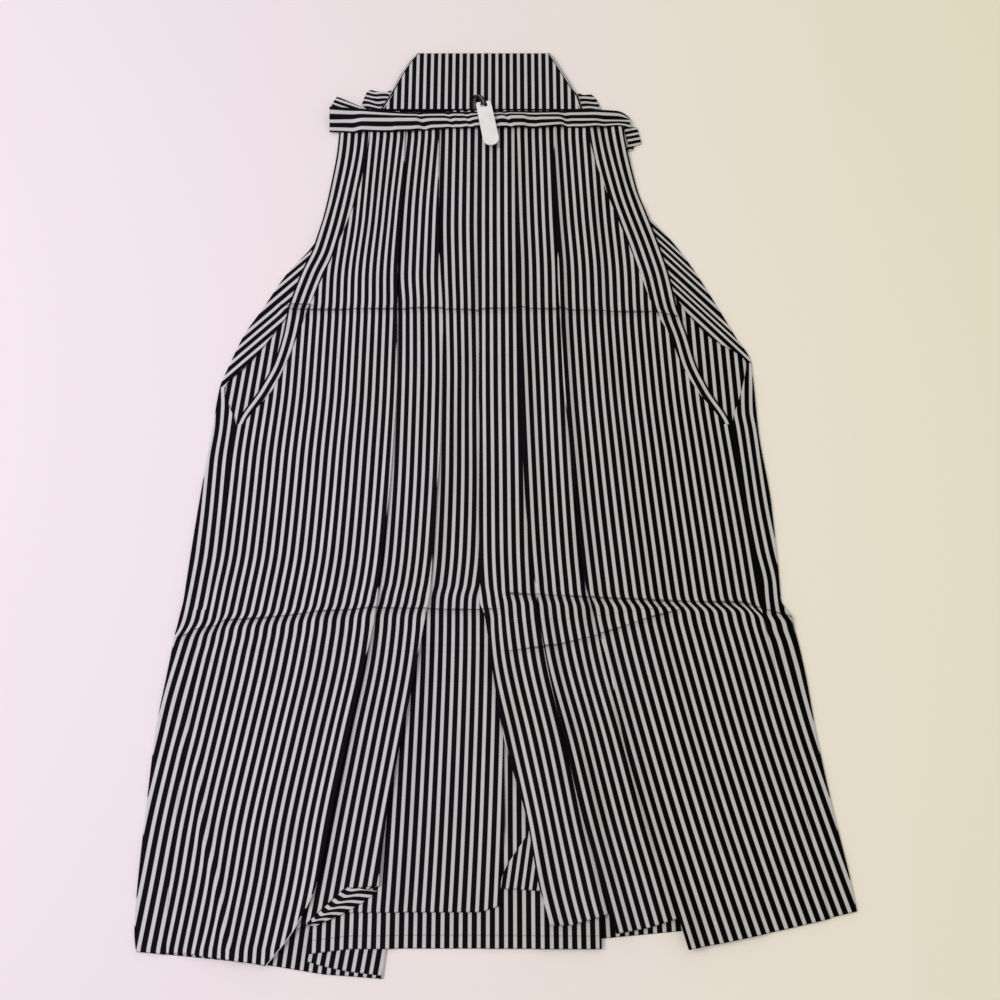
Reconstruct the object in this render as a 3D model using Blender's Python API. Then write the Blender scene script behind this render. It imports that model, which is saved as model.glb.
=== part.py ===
"""Men's divided hakama trousers, laid flat on a surface with the front up.

+Z is up, the hem points to -Y, the back board to +Y, and the wearer's right is at -X. Every panel is
one cloth wall that runs through its pleats: a section across the leg is a path that goes out along a
strip, round a fold and back beneath it, and the wall is that path with half its thickness to each
side. Each row of SECTIONS is one such section, and the wall joins the sections down the length.

A strip lies on whatever is below it: its height is the sum of the layers under it, and each layer
falls away over a short ramp beyond its own edge. "Along" is the distance up the garment from the
hem of the back panel. The tables are in millimetres.
"""

import math

import bmesh
import bpy
import numpy as np

MM = 0.001

# Cloth and layers
WALL = 1.0              # thickness of a cloth wall
LAYER = 1.5             # from the middle of one layer to the middle of the next
RAMP_START = 2.0        # a layer still carries the next one this far beyond its edge
RAMP_END = 50.0         # and no longer carries it from here on
FOLD_STEPS = 2          # points round a fold, between its two flat sides
LEAST_STEP = 0.6        # shortest step along a section
HEM_PASSES = 6          # rounds of working out where a leaning row meets the hem
COLUMN_STEP = 18.0      # widest step between two columns of points across a strip
SEAM_GAP = 0.3          # between two sewn pieces
BAND_RISE = 0.9         # the turned band along a side opening stands this proud of the panel
BAND_STEP = 1.0         # half the width of the step up to it

# Lengths along the garment
FRONT_TOP = 944.0       # top edge of the front panels, under the belt
BACK_TOP = 961.0        # top edge of the back panels, at the board
HEM_ZONE = 120.0        # below this, rows lean to follow each panel's own hem
SLIT_BOTTOM = 545.0     # lower end of the side openings
SLIT_START = 40.0       # the turned band reaches its full height over this length

# Under-folds
PLEAT_DEPTH_HEM = 72.0
PLEAT_DEPTH_TOP = 36.0

# Storage creases: soft ridges across the front
CREASES = ((345.0, 17.0, 3.0), (690.0, 15.0, 2.2))  # along, half width, height

# Where the bounding box has its middle, in table coordinates
MIDDLE_X = -3.88
MIDDLE_ALONG = 510.0

SECTIONS = np.array(
    [
        # along side_r turn_r edge_r band_r pl_out_r pl_in_r cen_r cen_l pl_in_l pl_mid_l pl_out_l
        #                                                              band_l edge_l turn_l side_l
        (-30, -346, -324, -324, -318, -240, -121, 0, 0, 54, 118, 192, 319, 326, 326, 352),
        (20, -357, -326, -326, -320, -200, -121, 0, 0, 50, 113, 178, 319, 325, 325, 351),
        (60, -358, -328, -328, -322, -181, -120, 0, 1, 39, 101, 167, 313, 319, 319, 347),
        (120, -357, -327, -327, -321, -170, -115, 5, 31, 28, 84, 148, 304, 310, 310, 337),
        (200, -355, -323, -323, -317, -156, -102, 4, 24, 5, 66, 127, 294, 300, 300, 326),
        (270, -348, -318, -318, -312, -143, -89, 10, 8, -7, 51, 115, 284, 290, 290, 319),
        (325, -341, -312, -312, -306, -133, -80, 17, 8, -15, 42, 101, 275, 281, 281, 311),
        (345, -338, -310, -310, -304, -131, -76, 18, 4, -21, 40, 96, 272, 278, 278, 303),
        (362, -337, -309, -309, -303, -130, -75, 18, 3, -21, 38, 92, 270, 276, 276, 300),
        (450, -331, -303, -303, -297, -123, -71, 22, -4, -22, 29, 84, 263, 269, 269, 298),
        (540, -323, -298, -298, -290, -119, -67, 22, -12, -22, 25, 77, 253, 262, 262, 290),
        (588, -319, -314, -274, -259, -118, -67, 23, -12, -23, 24, 73, 224, 238, 276, 289),
        (620, -309, -288, -260, -246, -119, -67, 23, -12, -23, 24, 72, 208, 225, 283, 288),
        (655, -296, -264, -252, -235, -120, -67, 23, -12, -23, 23, 71, 197, 217, 241, 271),
        (690, -276, -244, -247, -224, -121, -68, 23, -12, -23, 22, 70, 180, 207, 215, 254),
        (735, -251, -229, -235, -208, -121, -71, 24, -12, -24, 22, 69, 166, 199, 190, 231),
        (770, -224, -196, -222, -195, -121, -73, 24, -12, -24, 21, 69, 155, 190, 172, 210),
        (850, -182, -158, -207, -171, -117, -75, 24, -13, -24, 21, 67, 128, 167, 128, 150),
        (915, -162, -138, -200, -162, -118, -76, 25, -14, -25, 21, 67, 111, 155, 101, 120),
        (965, -147, -124, -199, -158, -118, -76, 25, -14, -25, 21, 68, 103, 150, 87, 102),
    ],
    float,
)
COLUMNS = (
    "along", "side_right", "turn_right", "edge_right", "band_right", "pleat_outer_right",
    "pleat_inner_right", "centre_right", "centre_left", "pleat_inner_left", "pleat_middle_left",
    "pleat_outer_left", "band_left", "edge_left", "turn_left", "side_left",
)

# The back's fold lines are straight from hem to waist: x at the hem and at the waist.
BACK_LINES = {
    "back_fold_right": (-109, -12),
    "back_inner_right": (-191, -60),
    "back_fold_left": (44, 12),
    "back_inner_left": (94, 60),
    "back_lap_left": (-8, -8),
}
BACK_LENGTH = 965.0
# The right leg's inner back panel reaches across below the crotch: along, x
BACK_INNER_EDGE = ((-30, 99), (120, 99), (200, 70), (270, 32), (325, 10), (965, 8))

# Hems, as (x, along) points from right to left
HEMS = {
    "front_right_outer": ((-350, -3), (-300, -5), (-247, -12), (-222, -15), (-100, -15)),
    "front_right_under_outer": ((-301, 0), (-229, -15)),
    "front_right_middle": ((-260, 0), (-193, 20), (-154, 55), (-118, 58)),
    "front_right_under_inner": ((-190, 38), (-118, 58)),
    "front_right_inner": ((-200, 40), (-165, 33), (-20, 33), (0, 39)),
    "front_left_turned": ((0, 55), (40, 53), (160, 53)),
    "front_left_under_inner": ((52, 22), (111, 53)),
    "front_left_inner": ((45, 22), (70, 22), (84, 26), (107, 32), (185, 29)),
    "front_left_middle": ((110, 14), (145, 19), (175, 28), (290, 34)),
    "front_left_under_outer": ((184, 0), (250, 32)),
    "front_left_outer": ((184, 0), (221, 6), (282, 18), (352, 33)),
    "back_right_outer": ((-350, -3), (-231, -14), (-172, -23), (-114, -27), (-100, -27)),
    "back_right_under": ((-190, 0), (-110, -27)),
    "back_right_inner": ((-230, 0), (110, 0)),
    "back_left_outer": ((0, 8), (100, 9), (180, 16), (352, 33)),
    "back_left_under": ((44, 8.5), (94, 12)),
    "back_left_inner": ((-20, 12), (110, 12)),
}

# Rows of the walls: the sections' own places and a few more at the creases
LAST_ROW_GAP = 15.0     # a row nearer than this to a wall's top edge is left out
ROWS = (-30, 20, 60, 120, 200, 270, 325, 345, 365, 450, 540, 588, 620, 655, 675, 690, 705, 770, 828,
        850, 905)

# Belt: x, along of its lower edge, along of its upper edge, height of its upper edge
BELT = (
    (-211, 931, 960, 11.0),
    (-190, 930, 959, 11.0),
    (-151, 929, 957, 10.5),
    (-104, 928, 955, 10.0),
    (-65, 930, 956, 10.0),
    (-22, 931, 957, 10.4),
    (55, 931, 956, 9.6),
    (100, 932, 957, 8.6),
    (135, 935, 960, 7.6),
    (158, 938, 962, 6.4),
)
BELT_WALL = 1.6
BELT_GAP = 0.8
BELT_REACH = 12.0       # it bridges the steps of the pleats over this distance
BELT_TURN = 2.5         # its upper edge rolls down over this distance
BELT_ROLL = 1.6         # and by this much
BELT_BEHIND = 1.5       # it passes over the panels' top edges this far beyond them

# Back board: outline corners (x, along) and thickness
BOARD = ((-149, 961.5), (103, 961.5), (98, 983), (84, 1012), (64, 1047), (-105, 1046), (-118, 1020),
         (-135, 990))
BOARD_THICKNESS = 5.0
BOARD_ROUND = 1.2
BOARD_SHOULDER = 0.4    # the middle of its rounded edge, in and down from the corner

# Folded ends of the ties: outline corners (x, along), height
TIES = {
    "front_tie_right": (
        ((-207, 954), (-162, 954), (-163, 961), (-172, 967), (-205, 977), (-209, 966)), 8.0),
    "front_tie_left": (
        ((146, 911), (172, 910), (175, 924), (172, 937), (147, 938)), 2.8),
    "back_tie_right": (
        ((-171, 970), (-160, 963), (-148.9, 963), (-135.4, 990.4), (-145, 994), (-168, 990)), 3.6),
    "back_tie_left": (
        ((103.4, 963), (126, 963), (120, 978), (114, 988), (97.1, 986.5)), 3.6),
}
TIE_LAYER = 2.2         # thickness of one folded layer
TIE_ROUND = 0.7
TIE_SIDE = 0.2          # inset of a folded layer's side

# Turned-up corner of the right leg's inner pleat: a strip along its fold, (x, along) pairs
CORNER = (
    ((-151, 54.0), (-124, 50)),
    ((-159, 49.8), (-134, 43)),
    ((-167, 42.6), (-145, 37)),
    ((-175, 35.5), (-157, 31)),
    ((-183, 28.3), (-169, 26)),
    ((-189, 22.9), (-180, 21)),
)
CORNER_STEPS = 5
CORNER_WAVE = 1.2       # height of the soft waves in the turned part

# Spatula: it hangs in its loop by a bar across its slot
SPATULA_BAR = (-20.6, 961.5, 18.3)  # middle of the bar: x, along, height
SPATULA_LEAN = 10.5     # degrees, its tip towards +X
SPATULA_LENGTH = 63.0
SPATULA_WIDTH_TOP = 18.6
SPATULA_WIDTH_TIP = 19.6
SPATULA_THICKNESS = 1.8
SPATULA_ROUND = 0.35
HEAD_CORNER = 1.5       # its head's corners are cut by this much
BAR_WIDTH = 2.2
SLOT_LENGTH = 5.4
SLOT_WIDTH = 8.6
END_STEPS = 12

# Loop: a tape turned round the bar and sewn at the board's lower seam
TAPE_WIDTH = 6.4
TAPE_THICKNESS = 1.0
LOOP_RADIUS = 2.2       # middle of the tape round the bar's middle
RING_STEPS = 12
TAIL_POINTS = (         # from the bar: away from the spatula, height, towards +X
    (4.0, 1.2, -0.5), (8.0, 0.8, -2.0), (12.5, -1.2, -4.5), (15.4, -4.8, -6.6), (14.9, -8.8, -8.2),
    (11.5, -11.2, -9.4), (6.5, -12.0, -10.2), (1.8, -12.2, -10.6),
)

# Colour and roughness of each piece. The striped cloth's is the mean of its stripes.
CLOTH_LOOK = ((0.16, 0.155, 0.16), 0.75)
LOOKS = {
    "spatula": ((0.82, 0.80, 0.78), 0.45),
    "spatula_loop": ((0.05, 0.05, 0.06), 0.8),
}
SMOOTH_BELOW = math.radians(40)


def smooth_curve(places, values):
    """A function through (places, values): cubic pieces whose slopes never overshoot the points."""
    places = np.asarray(places, float)
    values = np.asarray(values, float)
    steps = np.diff(places)
    slopes = np.diff(values) / steps
    inner = np.where(
        slopes[1:] * slopes[:-1] > 0,
        2 * slopes[1:] * slopes[:-1] / np.where(slopes[1:] + slopes[:-1] == 0, 1, slopes[1:] + slopes[:-1]),
        0,
    )
    tangents = np.concatenate([[slopes[0]], inner, [slopes[-1]]])

    def value(at):
        at = np.clip(np.asarray(at, float), places[0], places[-1])
        i = np.clip(np.searchsorted(places, at, side="right") - 1, 0, len(steps) - 1)
        t = (at - places[i]) / steps[i]
        lower = (1 + 2 * t) * (1 - t) ** 2 * values[i] + t * (1 - t) ** 2 * steps[i] * tangents[i]
        upper = t**2 * (3 - 2 * t) * values[i + 1] + t**2 * (t - 1) * steps[i] * tangents[i + 1]
        return lower + upper

    return value


def straight_curve(points):
    table = np.array(points, float)
    return lambda at: np.interp(at, table[:, 0], table[:, 1])


def pleat_depth(along):
    share = np.clip(np.asarray(along, float) / FRONT_TOP, 0, 1)
    return PLEAT_DEPTH_HEM + (PLEAT_DEPTH_TOP - PLEAT_DEPTH_HEM) * share


def make_lines():
    """Every named line of the garment, as x for a place along it."""
    lines = {
        name: smooth_curve(SECTIONS[:, 0], SECTIONS[:, i])
        for i, name in enumerate(COLUMNS)
        if name != "along"
    }
    for name, (hem, waist) in BACK_LINES.items():
        lines[name] = straight_curve(((-30, hem), (BACK_LENGTH, waist)))
    lines["back_inner_edge"] = straight_curve(BACK_INNER_EDGE)
    for fold, side in (
        ("pleat_outer_right", -1),
        ("pleat_inner_right", -1),
        ("pleat_inner_left", 1),
        ("pleat_middle_left", 1),
        ("pleat_outer_left", 1),
    ):
        lines[fold + "_hidden"] = lambda at, fold=fold, side=side: lines[fold](at) + side * pleat_depth(at)
    lines["seam_right"] = lambda at: lines["edge_right"](at) + SEAM_GAP
    lines["seam_left"] = lambda at: lines["edge_left"](at) - SEAM_GAP
    return lines


LINES = make_lines()

# The layers from the surface up: name, its right-hand and left-hand lines, thickness, and where
# along the garment it is felt (from, fully from, fully to, to).
EVERYWHERE = (-200.0, -100.0, 2000.0, 2100.0)
LAYERS = (
    ("back_right_outer", "side_right", "back_fold_right", LAYER, EVERYWHERE),
    ("back_left_outer", "back_fold_left", "side_left", LAYER, EVERYWHERE),
    ("tie_end", 146.0, 176.0, 3.0, (850.0, 905.0, 2000.0, 2100.0)),
    ("back_right_under", "back_inner_right", "back_fold_right", LAYER, EVERYWHERE),
    ("back_left_under", "back_fold_left", "back_inner_left", LAYER, EVERYWHERE),
    ("back_left_inner", "back_lap_left", "back_inner_left", LAYER, EVERYWHERE),
    ("back_right_inner", "back_inner_right", "back_inner_edge", LAYER, EVERYWHERE),
    ("turn_right", "side_right", "turn_right", LAYER, (600.0, 640.0, 2000.0, 2100.0)),
    ("turn_left", "turn_left", "side_left", LAYER, (600.0, 640.0, 2000.0, 2100.0)),
    ("front_right_inner", "pleat_inner_right_hidden", "centre_right", LAYER, EVERYWHERE),
    ("front_right_under_inner", "pleat_inner_right_hidden", "pleat_inner_right", LAYER, EVERYWHERE),
    ("front_right_middle", "pleat_outer_right_hidden", "pleat_inner_right", LAYER, EVERYWHERE),
    ("front_right_under_outer", "pleat_outer_right_hidden", "pleat_outer_right", LAYER, EVERYWHERE),
    ("front_right_outer", "seam_right", "pleat_outer_right", LAYER, EVERYWHERE),
    ("front_left_turned", "centre_left", "pleat_inner_left_hidden", LAYER, EVERYWHERE),
    ("front_left_under_inner", "pleat_inner_left", "pleat_inner_left_hidden", LAYER, EVERYWHERE),
    ("front_left_inner", "pleat_inner_left", "pleat_middle_left_hidden", LAYER, EVERYWHERE),
    ("front_left_under_middle", "pleat_middle_left", "pleat_middle_left_hidden", LAYER, EVERYWHERE),
    ("front_left_middle", "pleat_middle_left", "pleat_outer_left_hidden", LAYER, EVERYWHERE),
    ("front_left_under_outer", "pleat_outer_left", "pleat_outer_left_hidden", LAYER, EVERYWHERE),
    ("front_left_outer", "pleat_outer_left", "seam_left", LAYER, EVERYWHERE),
)
LAYER_NAMES = [layer[0] for layer in LAYERS]


def line_at(line, along):
    if isinstance(line, str):
        return LINES[line](along)
    return np.full_like(np.asarray(along, float), line)


def carried(layer, x, along):
    """1 on the layer, falling in a straight ramp to 0 beyond its edges."""
    _, low, high, _, window = layer
    beyond = np.maximum(line_at(low, along) - x, x - line_at(high, along))
    across = 1 - np.clip((beyond - RAMP_START) / (RAMP_END - RAMP_START), 0, 1)
    rise = np.clip((along - window[0]) / (window[1] - window[0]), 0, 1)
    fall = np.clip((window[3] - along) / (window[3] - window[2]), 0, 1)
    return across * np.minimum(rise, fall)


def crease_rise(along):
    along = np.asarray(along, float)
    return sum(height * np.clip(1 - abs(along - at) / half, 0, 1) for at, half, height in CREASES)


def on_floor(name):
    """True for the layers of the back panels, which only ever lie on each other."""
    return name.startswith(("back", "turn"))


def level(name, x, along):
    """Height of the middle of the named layer: half a wall, and every layer below it."""
    x = np.asarray(x, float)
    along = np.asarray(along, float)
    below = LAYERS[: LAYER_NAMES.index(name)]
    height = np.full_like(x, WALL / 2)
    for layer in below:
        if on_floor(name) and not layer[0].startswith("back"):
            continue
        height = height + layer[3] * carried(layer, x, along)
    if name.startswith("front"):
        height = height + crease_rise(along)
    return height


def stack_top(x, along):
    """Height of the top face of everything laid at (x, along)."""
    x = np.asarray(x, float)
    along = np.asarray(along, float)
    height = sum(layer[3] * carried(layer, x, along) for layer in LAYERS)
    return height - (LAYER - WALL) + crease_rise(along)


def spaced(xs, low, high):
    """Each row's points sorted, kept between its ends and at least LEAST_STEP apart."""
    xs = np.sort(np.clip(xs, low, high), axis=0)
    count = len(xs)
    for i in range(1, count):
        xs[i] = np.maximum(xs[i], xs[i - 1] + LEAST_STEP)
    overrun = xs[-1] - high
    for i in range(count - 1, -1, -1):
        most = high - (count - 1 - i) * LEAST_STEP
        xs[i] = np.where(overrun > 0, np.minimum(xs[i], most), xs[i])
    xs[0] = low
    xs[-1] = high
    return xs


def leaned(start, rows):
    """Places along the garment: rows below HEM_ZONE lean so that the first one is at the hem."""
    share = np.clip((rows - rows[0]) / (HEM_ZONE - rows[0]), 0, 1)[None, :]
    start = start[:, None]
    return np.where(rows[None, :] < HEM_ZONE, start + (HEM_ZONE - start) * share, rows[None, :])


class Strip:
    """One flat stretch of a wall, from its first line to its last, on a layer of its own."""

    def __init__(self, layer, first, last, hem, band=None):
        self.layer = layer
        self.way = 1 if line_at(last, FRONT_TOP) > line_at(first, FRONT_TOP) else -1
        self.low, self.high = (first, last) if self.way > 0 else (last, first)
        self.hem = hem
        self.band = band

    def between(self, share, along):
        """x at a share of the way from the strip's right-hand line to its left-hand one."""
        low, high = line_at(self.low, along), line_at(self.high, along)
        return low + (high - low) * share

    def points(self, rows):
        low, high = line_at(self.low, rows), line_at(self.high, rows)
        count = max(1, round((high - low).max() / COLUMN_STEP))
        columns = [low + (high - low) * i / count for i in range(count + 1)]
        hem = np.array(HEMS[self.hem], float)
        for x, along in hem:
            ends = line_at(self.low, along), line_at(self.high, along)
            share = (x - ends[0]) / (ends[1] - ends[0])
            if 0 < share < 1:
                columns.append(low + (high - low) * share)
        if self.band:
            step = line_at(self.band, rows)
            columns += [step - BAND_STEP, step + BAND_STEP]
        share = (spaced(np.array(columns), low, high) - low) / (high - low)
        start = np.full(len(share), rows[0])
        for _ in range(HEM_PASSES):
            start = np.interp(self.between(share[:, 0], start), hem[:, 0], hem[:, 1])
        along = leaned(start, rows)
        xs = self.between(share, along)
        zs = level(self.layer, xs, along)
        if self.way < 0:
            xs, along, zs = xs[::-1], along[::-1], zs[::-1]
        return xs, along, zs


def wall_path(strips, rows):
    """Points of the wall's middle and its left-hand normals, strip by strip and round each fold."""
    placed = [strip.points(rows) for strip in strips]
    xs, alongs, zs, across, up = [], [], [], [], []
    for i, (x, along, z) in enumerate(placed):
        way = strips[i].way
        xs.append(x)
        alongs.append(along)
        zs.append(z)
        across.append(np.zeros_like(x))
        up.append(np.full_like(x, way))
        if i + 1 == len(placed):
            break
        next_z = placed[i + 1][2][0]
        radius = abs(z[-1] - next_z) / 2
        middle = (z[-1] + next_z) / 2
        descends = z[-1].mean() > next_z.mean()
        turn = 1 if descends == (way > 0) else -1
        for k in range(1, FOLD_STEPS + 1):
            angle = math.pi * (0.5 - k / (FOLD_STEPS + 1)) * (1 if descends else -1)
            xs.append((x[-1] + way * radius * math.cos(angle))[None])
            alongs.append(along[-1][None])
            zs.append((middle + radius * math.sin(angle))[None])
            across.append(np.full_like(x[-1], turn * way * math.cos(angle))[None])
            up.append(np.full_like(x[-1], turn * math.sin(angle))[None])
    return tuple(np.concatenate(part) for part in (xs, alongs, zs, across, up))


def band_rise(strips, xs, along):
    """How far the turned band along a side opening raises the outer face."""
    rise = np.zeros_like(xs)
    for strip in strips:
        if strip.band:
            step = line_at(strip.band, along)
            outward = 1 if strip.band.endswith("left") else -1
            inside = np.clip(0.5 + outward * (xs - step) / (2 * BAND_STEP), 0, 1)
            open_part = np.clip((along - SLIT_BOTTOM) / SLIT_START, 0, 1)
            rise = np.maximum(rise, BAND_RISE * inside * open_part)
    return rise


def new_material(name):
    colour, roughness = LOOKS.get(name, CLOTH_LOOK)
    material = bpy.data.materials.new(name)
    material.use_nodes = True
    shader = material.node_tree.nodes["Principled BSDF"]
    shader.inputs["Base Color"].default_value = (*colour, 1.0)
    shader.inputs["Roughness"].default_value = roughness
    shader.inputs["Metallic"].default_value = 0.0
    return material


def mesh_object(name, points, faces):
    """A mesh object from points in millimetres, facing outwards, smooth across its gentle edges."""
    shape = bmesh.new()
    corners = [shape.verts.new(point * MM) for point in np.asarray(points, float)]
    for face in faces:
        shape.faces.new([corners[i] for i in face])
    bmesh.ops.recalc_face_normals(shape, faces=shape.faces)
    mesh = bpy.data.meshes.new(name)
    shape.to_mesh(mesh)
    shape.free()
    mesh.shade_smooth()
    mesh.set_sharp_from_angle(angle=SMOOTH_BELOW)
    obj = bpy.data.objects.new(name, mesh)
    bpy.context.scene.collection.objects.link(obj)
    return obj


def new_object(name, points, faces):
    """A piece in table coordinates, moved so that the bounding box stands on the origin."""
    points = np.asarray(points, float) - (MIDDLE_X, MIDDLE_ALONG, 0.0)
    obj = mesh_object(name, points, faces)
    obj.data.materials.append(new_material(name))


def closed_sheet(outer, inner):
    """Points and faces of a thin solid between two grids of the same shape (columns, rows, 3)."""
    columns, rows = outer.shape[:2]
    points = np.concatenate([outer.reshape(-1, 3), inner.reshape(-1, 3)])
    index = np.arange(columns * rows).reshape(columns, rows)
    back = index + columns * rows
    faces = []
    for i in range(columns - 1):
        for j in range(rows - 1):
            faces.append((index[i, j], index[i, j + 1], index[i + 1, j + 1], index[i + 1, j]))
            faces.append((back[i, j], back[i + 1, j], back[i + 1, j + 1], back[i, j + 1]))
        faces.append((index[i, 0], index[i + 1, 0], back[i + 1, 0], back[i, 0]))
        faces.append((index[i, -1], back[i, -1], back[i + 1, -1], index[i + 1, -1]))
    for j in range(rows - 1):
        faces.append((index[0, j], back[0, j], back[0, j + 1], index[0, j + 1]))
        faces.append((index[-1, j], index[-1, j + 1], back[-1, j + 1], back[-1, j]))
    return points, [tuple(int(i) for i in face) for face in faces]


def cloth_wall(name, strips, top):
    rows = np.array([row for row in ROWS if row < top - LAST_ROW_GAP] + [top], float)
    xs, along, zs, across, up = wall_path(strips, rows)
    half = WALL / 2
    rise = band_rise(strips, xs, along)
    outer = np.stack([xs + half * across, along, zs + half * up + rise], axis=-1)
    inner = np.stack([xs - half * across, along, zs - half * up], axis=-1)
    new_object(name, *closed_sheet(outer, inner))


def front_leg_right():
    strips = (
        Strip("front_right_outer", "seam_right", "pleat_outer_right", "front_right_outer", "band_right"),
        Strip("front_right_under_outer", "pleat_outer_right", "pleat_outer_right_hidden",
              "front_right_under_outer"),
        Strip("front_right_middle", "pleat_outer_right_hidden", "pleat_inner_right",
              "front_right_middle"),
        Strip("front_right_under_inner", "pleat_inner_right", "pleat_inner_right_hidden",
              "front_right_under_inner"),
        Strip("front_right_inner", "pleat_inner_right_hidden", "centre_right", "front_right_inner"),
    )
    cloth_wall("front_leg_right", strips, FRONT_TOP)


def front_leg_left():
    strips = (
        Strip("front_left_turned", "centre_left", "pleat_inner_left_hidden", "front_left_turned"),
        Strip("front_left_under_inner", "pleat_inner_left_hidden", "pleat_inner_left",
              "front_left_under_inner"),
        Strip("front_left_inner", "pleat_inner_left", "pleat_middle_left_hidden", "front_left_inner"),
        Strip("front_left_under_middle", "pleat_middle_left_hidden", "pleat_middle_left",
              "front_left_middle"),
        Strip("front_left_middle", "pleat_middle_left", "pleat_outer_left_hidden",
              "front_left_middle"),
        Strip("front_left_under_outer", "pleat_outer_left_hidden", "pleat_outer_left",
              "front_left_under_outer"),
        Strip("front_left_outer", "pleat_outer_left", "seam_left", "front_left_outer", "band_left"),
    )
    cloth_wall("front_leg_left", strips, FRONT_TOP)


def back_leg_right():
    strips = (
        Strip("turn_right", "turn_right", "side_right", "back_right_outer"),
        Strip("back_right_outer", "side_right", "back_fold_right", "back_right_outer"),
        Strip("back_right_under", "back_fold_right", "back_inner_right", "back_right_under"),
        Strip("back_right_inner", "back_inner_right", "back_inner_edge", "back_right_inner"),
    )
    cloth_wall("back_leg_right", strips, BACK_TOP)


def back_leg_left():
    strips = (
        Strip("turn_left", "turn_left", "side_left", "back_left_outer"),
        Strip("back_left_outer", "side_left", "back_fold_left", "back_left_outer"),
        Strip("back_left_under", "back_fold_left", "back_inner_left", "back_left_under"),
        Strip("back_left_inner", "back_inner_left", "back_lap_left", "back_left_inner"),
    )
    cloth_wall("back_leg_left", strips, BACK_TOP)


def turned_corner():
    """The lower corner of the inner pleat, turned up: its edges are joined by soft waves."""
    edges = np.array(CORNER, float)
    share = np.linspace(0, 1, CORNER_STEPS)[None, :, None]
    plan = edges[:, :1] * (1 - share) + edges[:, 1:] * share
    x, along = plan[..., 0], plan[..., 1]
    wave = CORNER_WAVE * np.sin(math.pi * share[..., 0]) ** 2
    wave = wave * (0.5 + 0.5 * np.cos(math.pi * np.arange(len(edges)))[:, None])
    z = level("front_right_middle", x, along) - LAYER * share[..., 0] + wave
    upper = np.stack([x, along, z + WALL / 2], axis=-1)
    lower = np.stack([x, along, z - WALL / 2], axis=-1)
    new_object("turned_corner", *closed_sheet(upper, lower))


def above_stack(xs, along):
    """Height of the middle of the belt where it rests on the highest of the layers near it."""
    reach = np.arange(-BELT_REACH, BELT_REACH + 1, BELT_REACH / 3)
    highest = np.max([stack_top(xs + offset, along) for offset in reach], axis=0)
    return highest + BELT_GAP + BELT_WALL / 2


def front_belt():
    """A strip over the panels' top edges. Its upper edge rolls down behind them."""
    table = np.array(BELT, float)
    xs = np.sort(np.concatenate([table[:, 0], (table[1:, 0] + table[:-1, 0]) / 2]))
    low, high, top = (smooth_curve(table[:, 0], table[:, i])(xs) for i in (1, 2, 3))
    first = above_stack(xs, low)
    behind = np.full_like(xs, FRONT_TOP + BELT_BEHIND)
    share = (behind - low) / (high - BELT_TURN - low)
    over = np.maximum(above_stack(xs, behind), first + (top - first) * share)
    along = np.stack([low, behind, high - BELT_TURN, high - BELT_TURN / 4, high], axis=1)
    height = np.stack([first, over, top, top - BELT_ROLL / 3, top - BELT_ROLL], axis=1)
    d_along = np.gradient(along, axis=1)
    d_height = np.gradient(height, axis=1)
    size = np.hypot(d_along, d_height)
    normal = np.stack([np.zeros_like(size), -d_height / size, d_along / size], axis=-1)
    middle = np.stack([np.repeat(xs[:, None], along.shape[1], axis=1), along, height], axis=-1)
    half = BELT_WALL / 2
    new_object("front_belt", *closed_sheet(middle + half * normal, middle - half * normal))


def slab(name, outline, rings):
    """A solid whose outline, moved in by each ring's inset, is repeated at each ring's height."""
    outline = np.array(outline, float)
    centre = outline.mean(axis=0)
    reach = np.linalg.norm(outline - centre, axis=1, keepdims=True)
    count = len(outline)
    points = []
    for height, inset in rings:
        moved = centre + (outline - centre) * (1 - inset / reach)
        points += [(x, along, height) for x, along in moved]
    faces = [tuple(range(count))[::-1]]
    for ring in range(len(rings) - 1):
        for i in range(count):
            a, b = ring * count + i, ring * count + (i + 1) % count
            faces.append((a, b, b + count, a + count))
    faces.append(tuple(range((len(rings) - 1) * count, len(rings) * count)))
    new_object(name, points, faces)


def back_board():
    top, edge, shoulder = BOARD_THICKNESS, BOARD_ROUND, BOARD_SHOULDER
    rings = (
        (0.0, edge), (shoulder, shoulder), (edge, 0.0),
        (top - edge, 0.0), (top - shoulder, shoulder), (top, edge),
    )
    slab("back_board", BOARD, rings)


def folded_ties():
    """The parts of the ties that show: folded layers with a groove between each two at the edges."""
    for name, (outline, height) in TIES.items():
        layers = round(height / TIE_LAYER)
        rings = []
        for i in range(layers):
            low, high = height * i / layers, height * (i + 1) / layers
            rings += [(low, TIE_ROUND), (low + TIE_ROUND, TIE_SIDE), (high - TIE_ROUND, TIE_SIDE)]
        rings.append((height, TIE_ROUND))
        slab(name, outline, rings)


def spatula_frame():
    """Unit vectors of the spatula: towards its tip, across it, and its place on the bar's middle."""
    lean = math.radians(SPATULA_LEAN)
    tip = np.array([math.sin(lean), -math.cos(lean), 0.0])
    across = np.array([math.cos(lean), math.sin(lean), 0.0])
    return tip, across


def prism(name, outline, low, high):
    """A straight prism on an outline in its own x and y, in millimetres."""
    count = len(outline)
    points = [(x, y, z) for z in (low, high) for x, y in outline]
    faces = [tuple(range(count)), tuple(range(count, 2 * count))]
    for i in range(count):
        j = (i + 1) % count
        faces.append((i, j, j + count, i + count))
    return mesh_object(name, points, faces)


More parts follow.
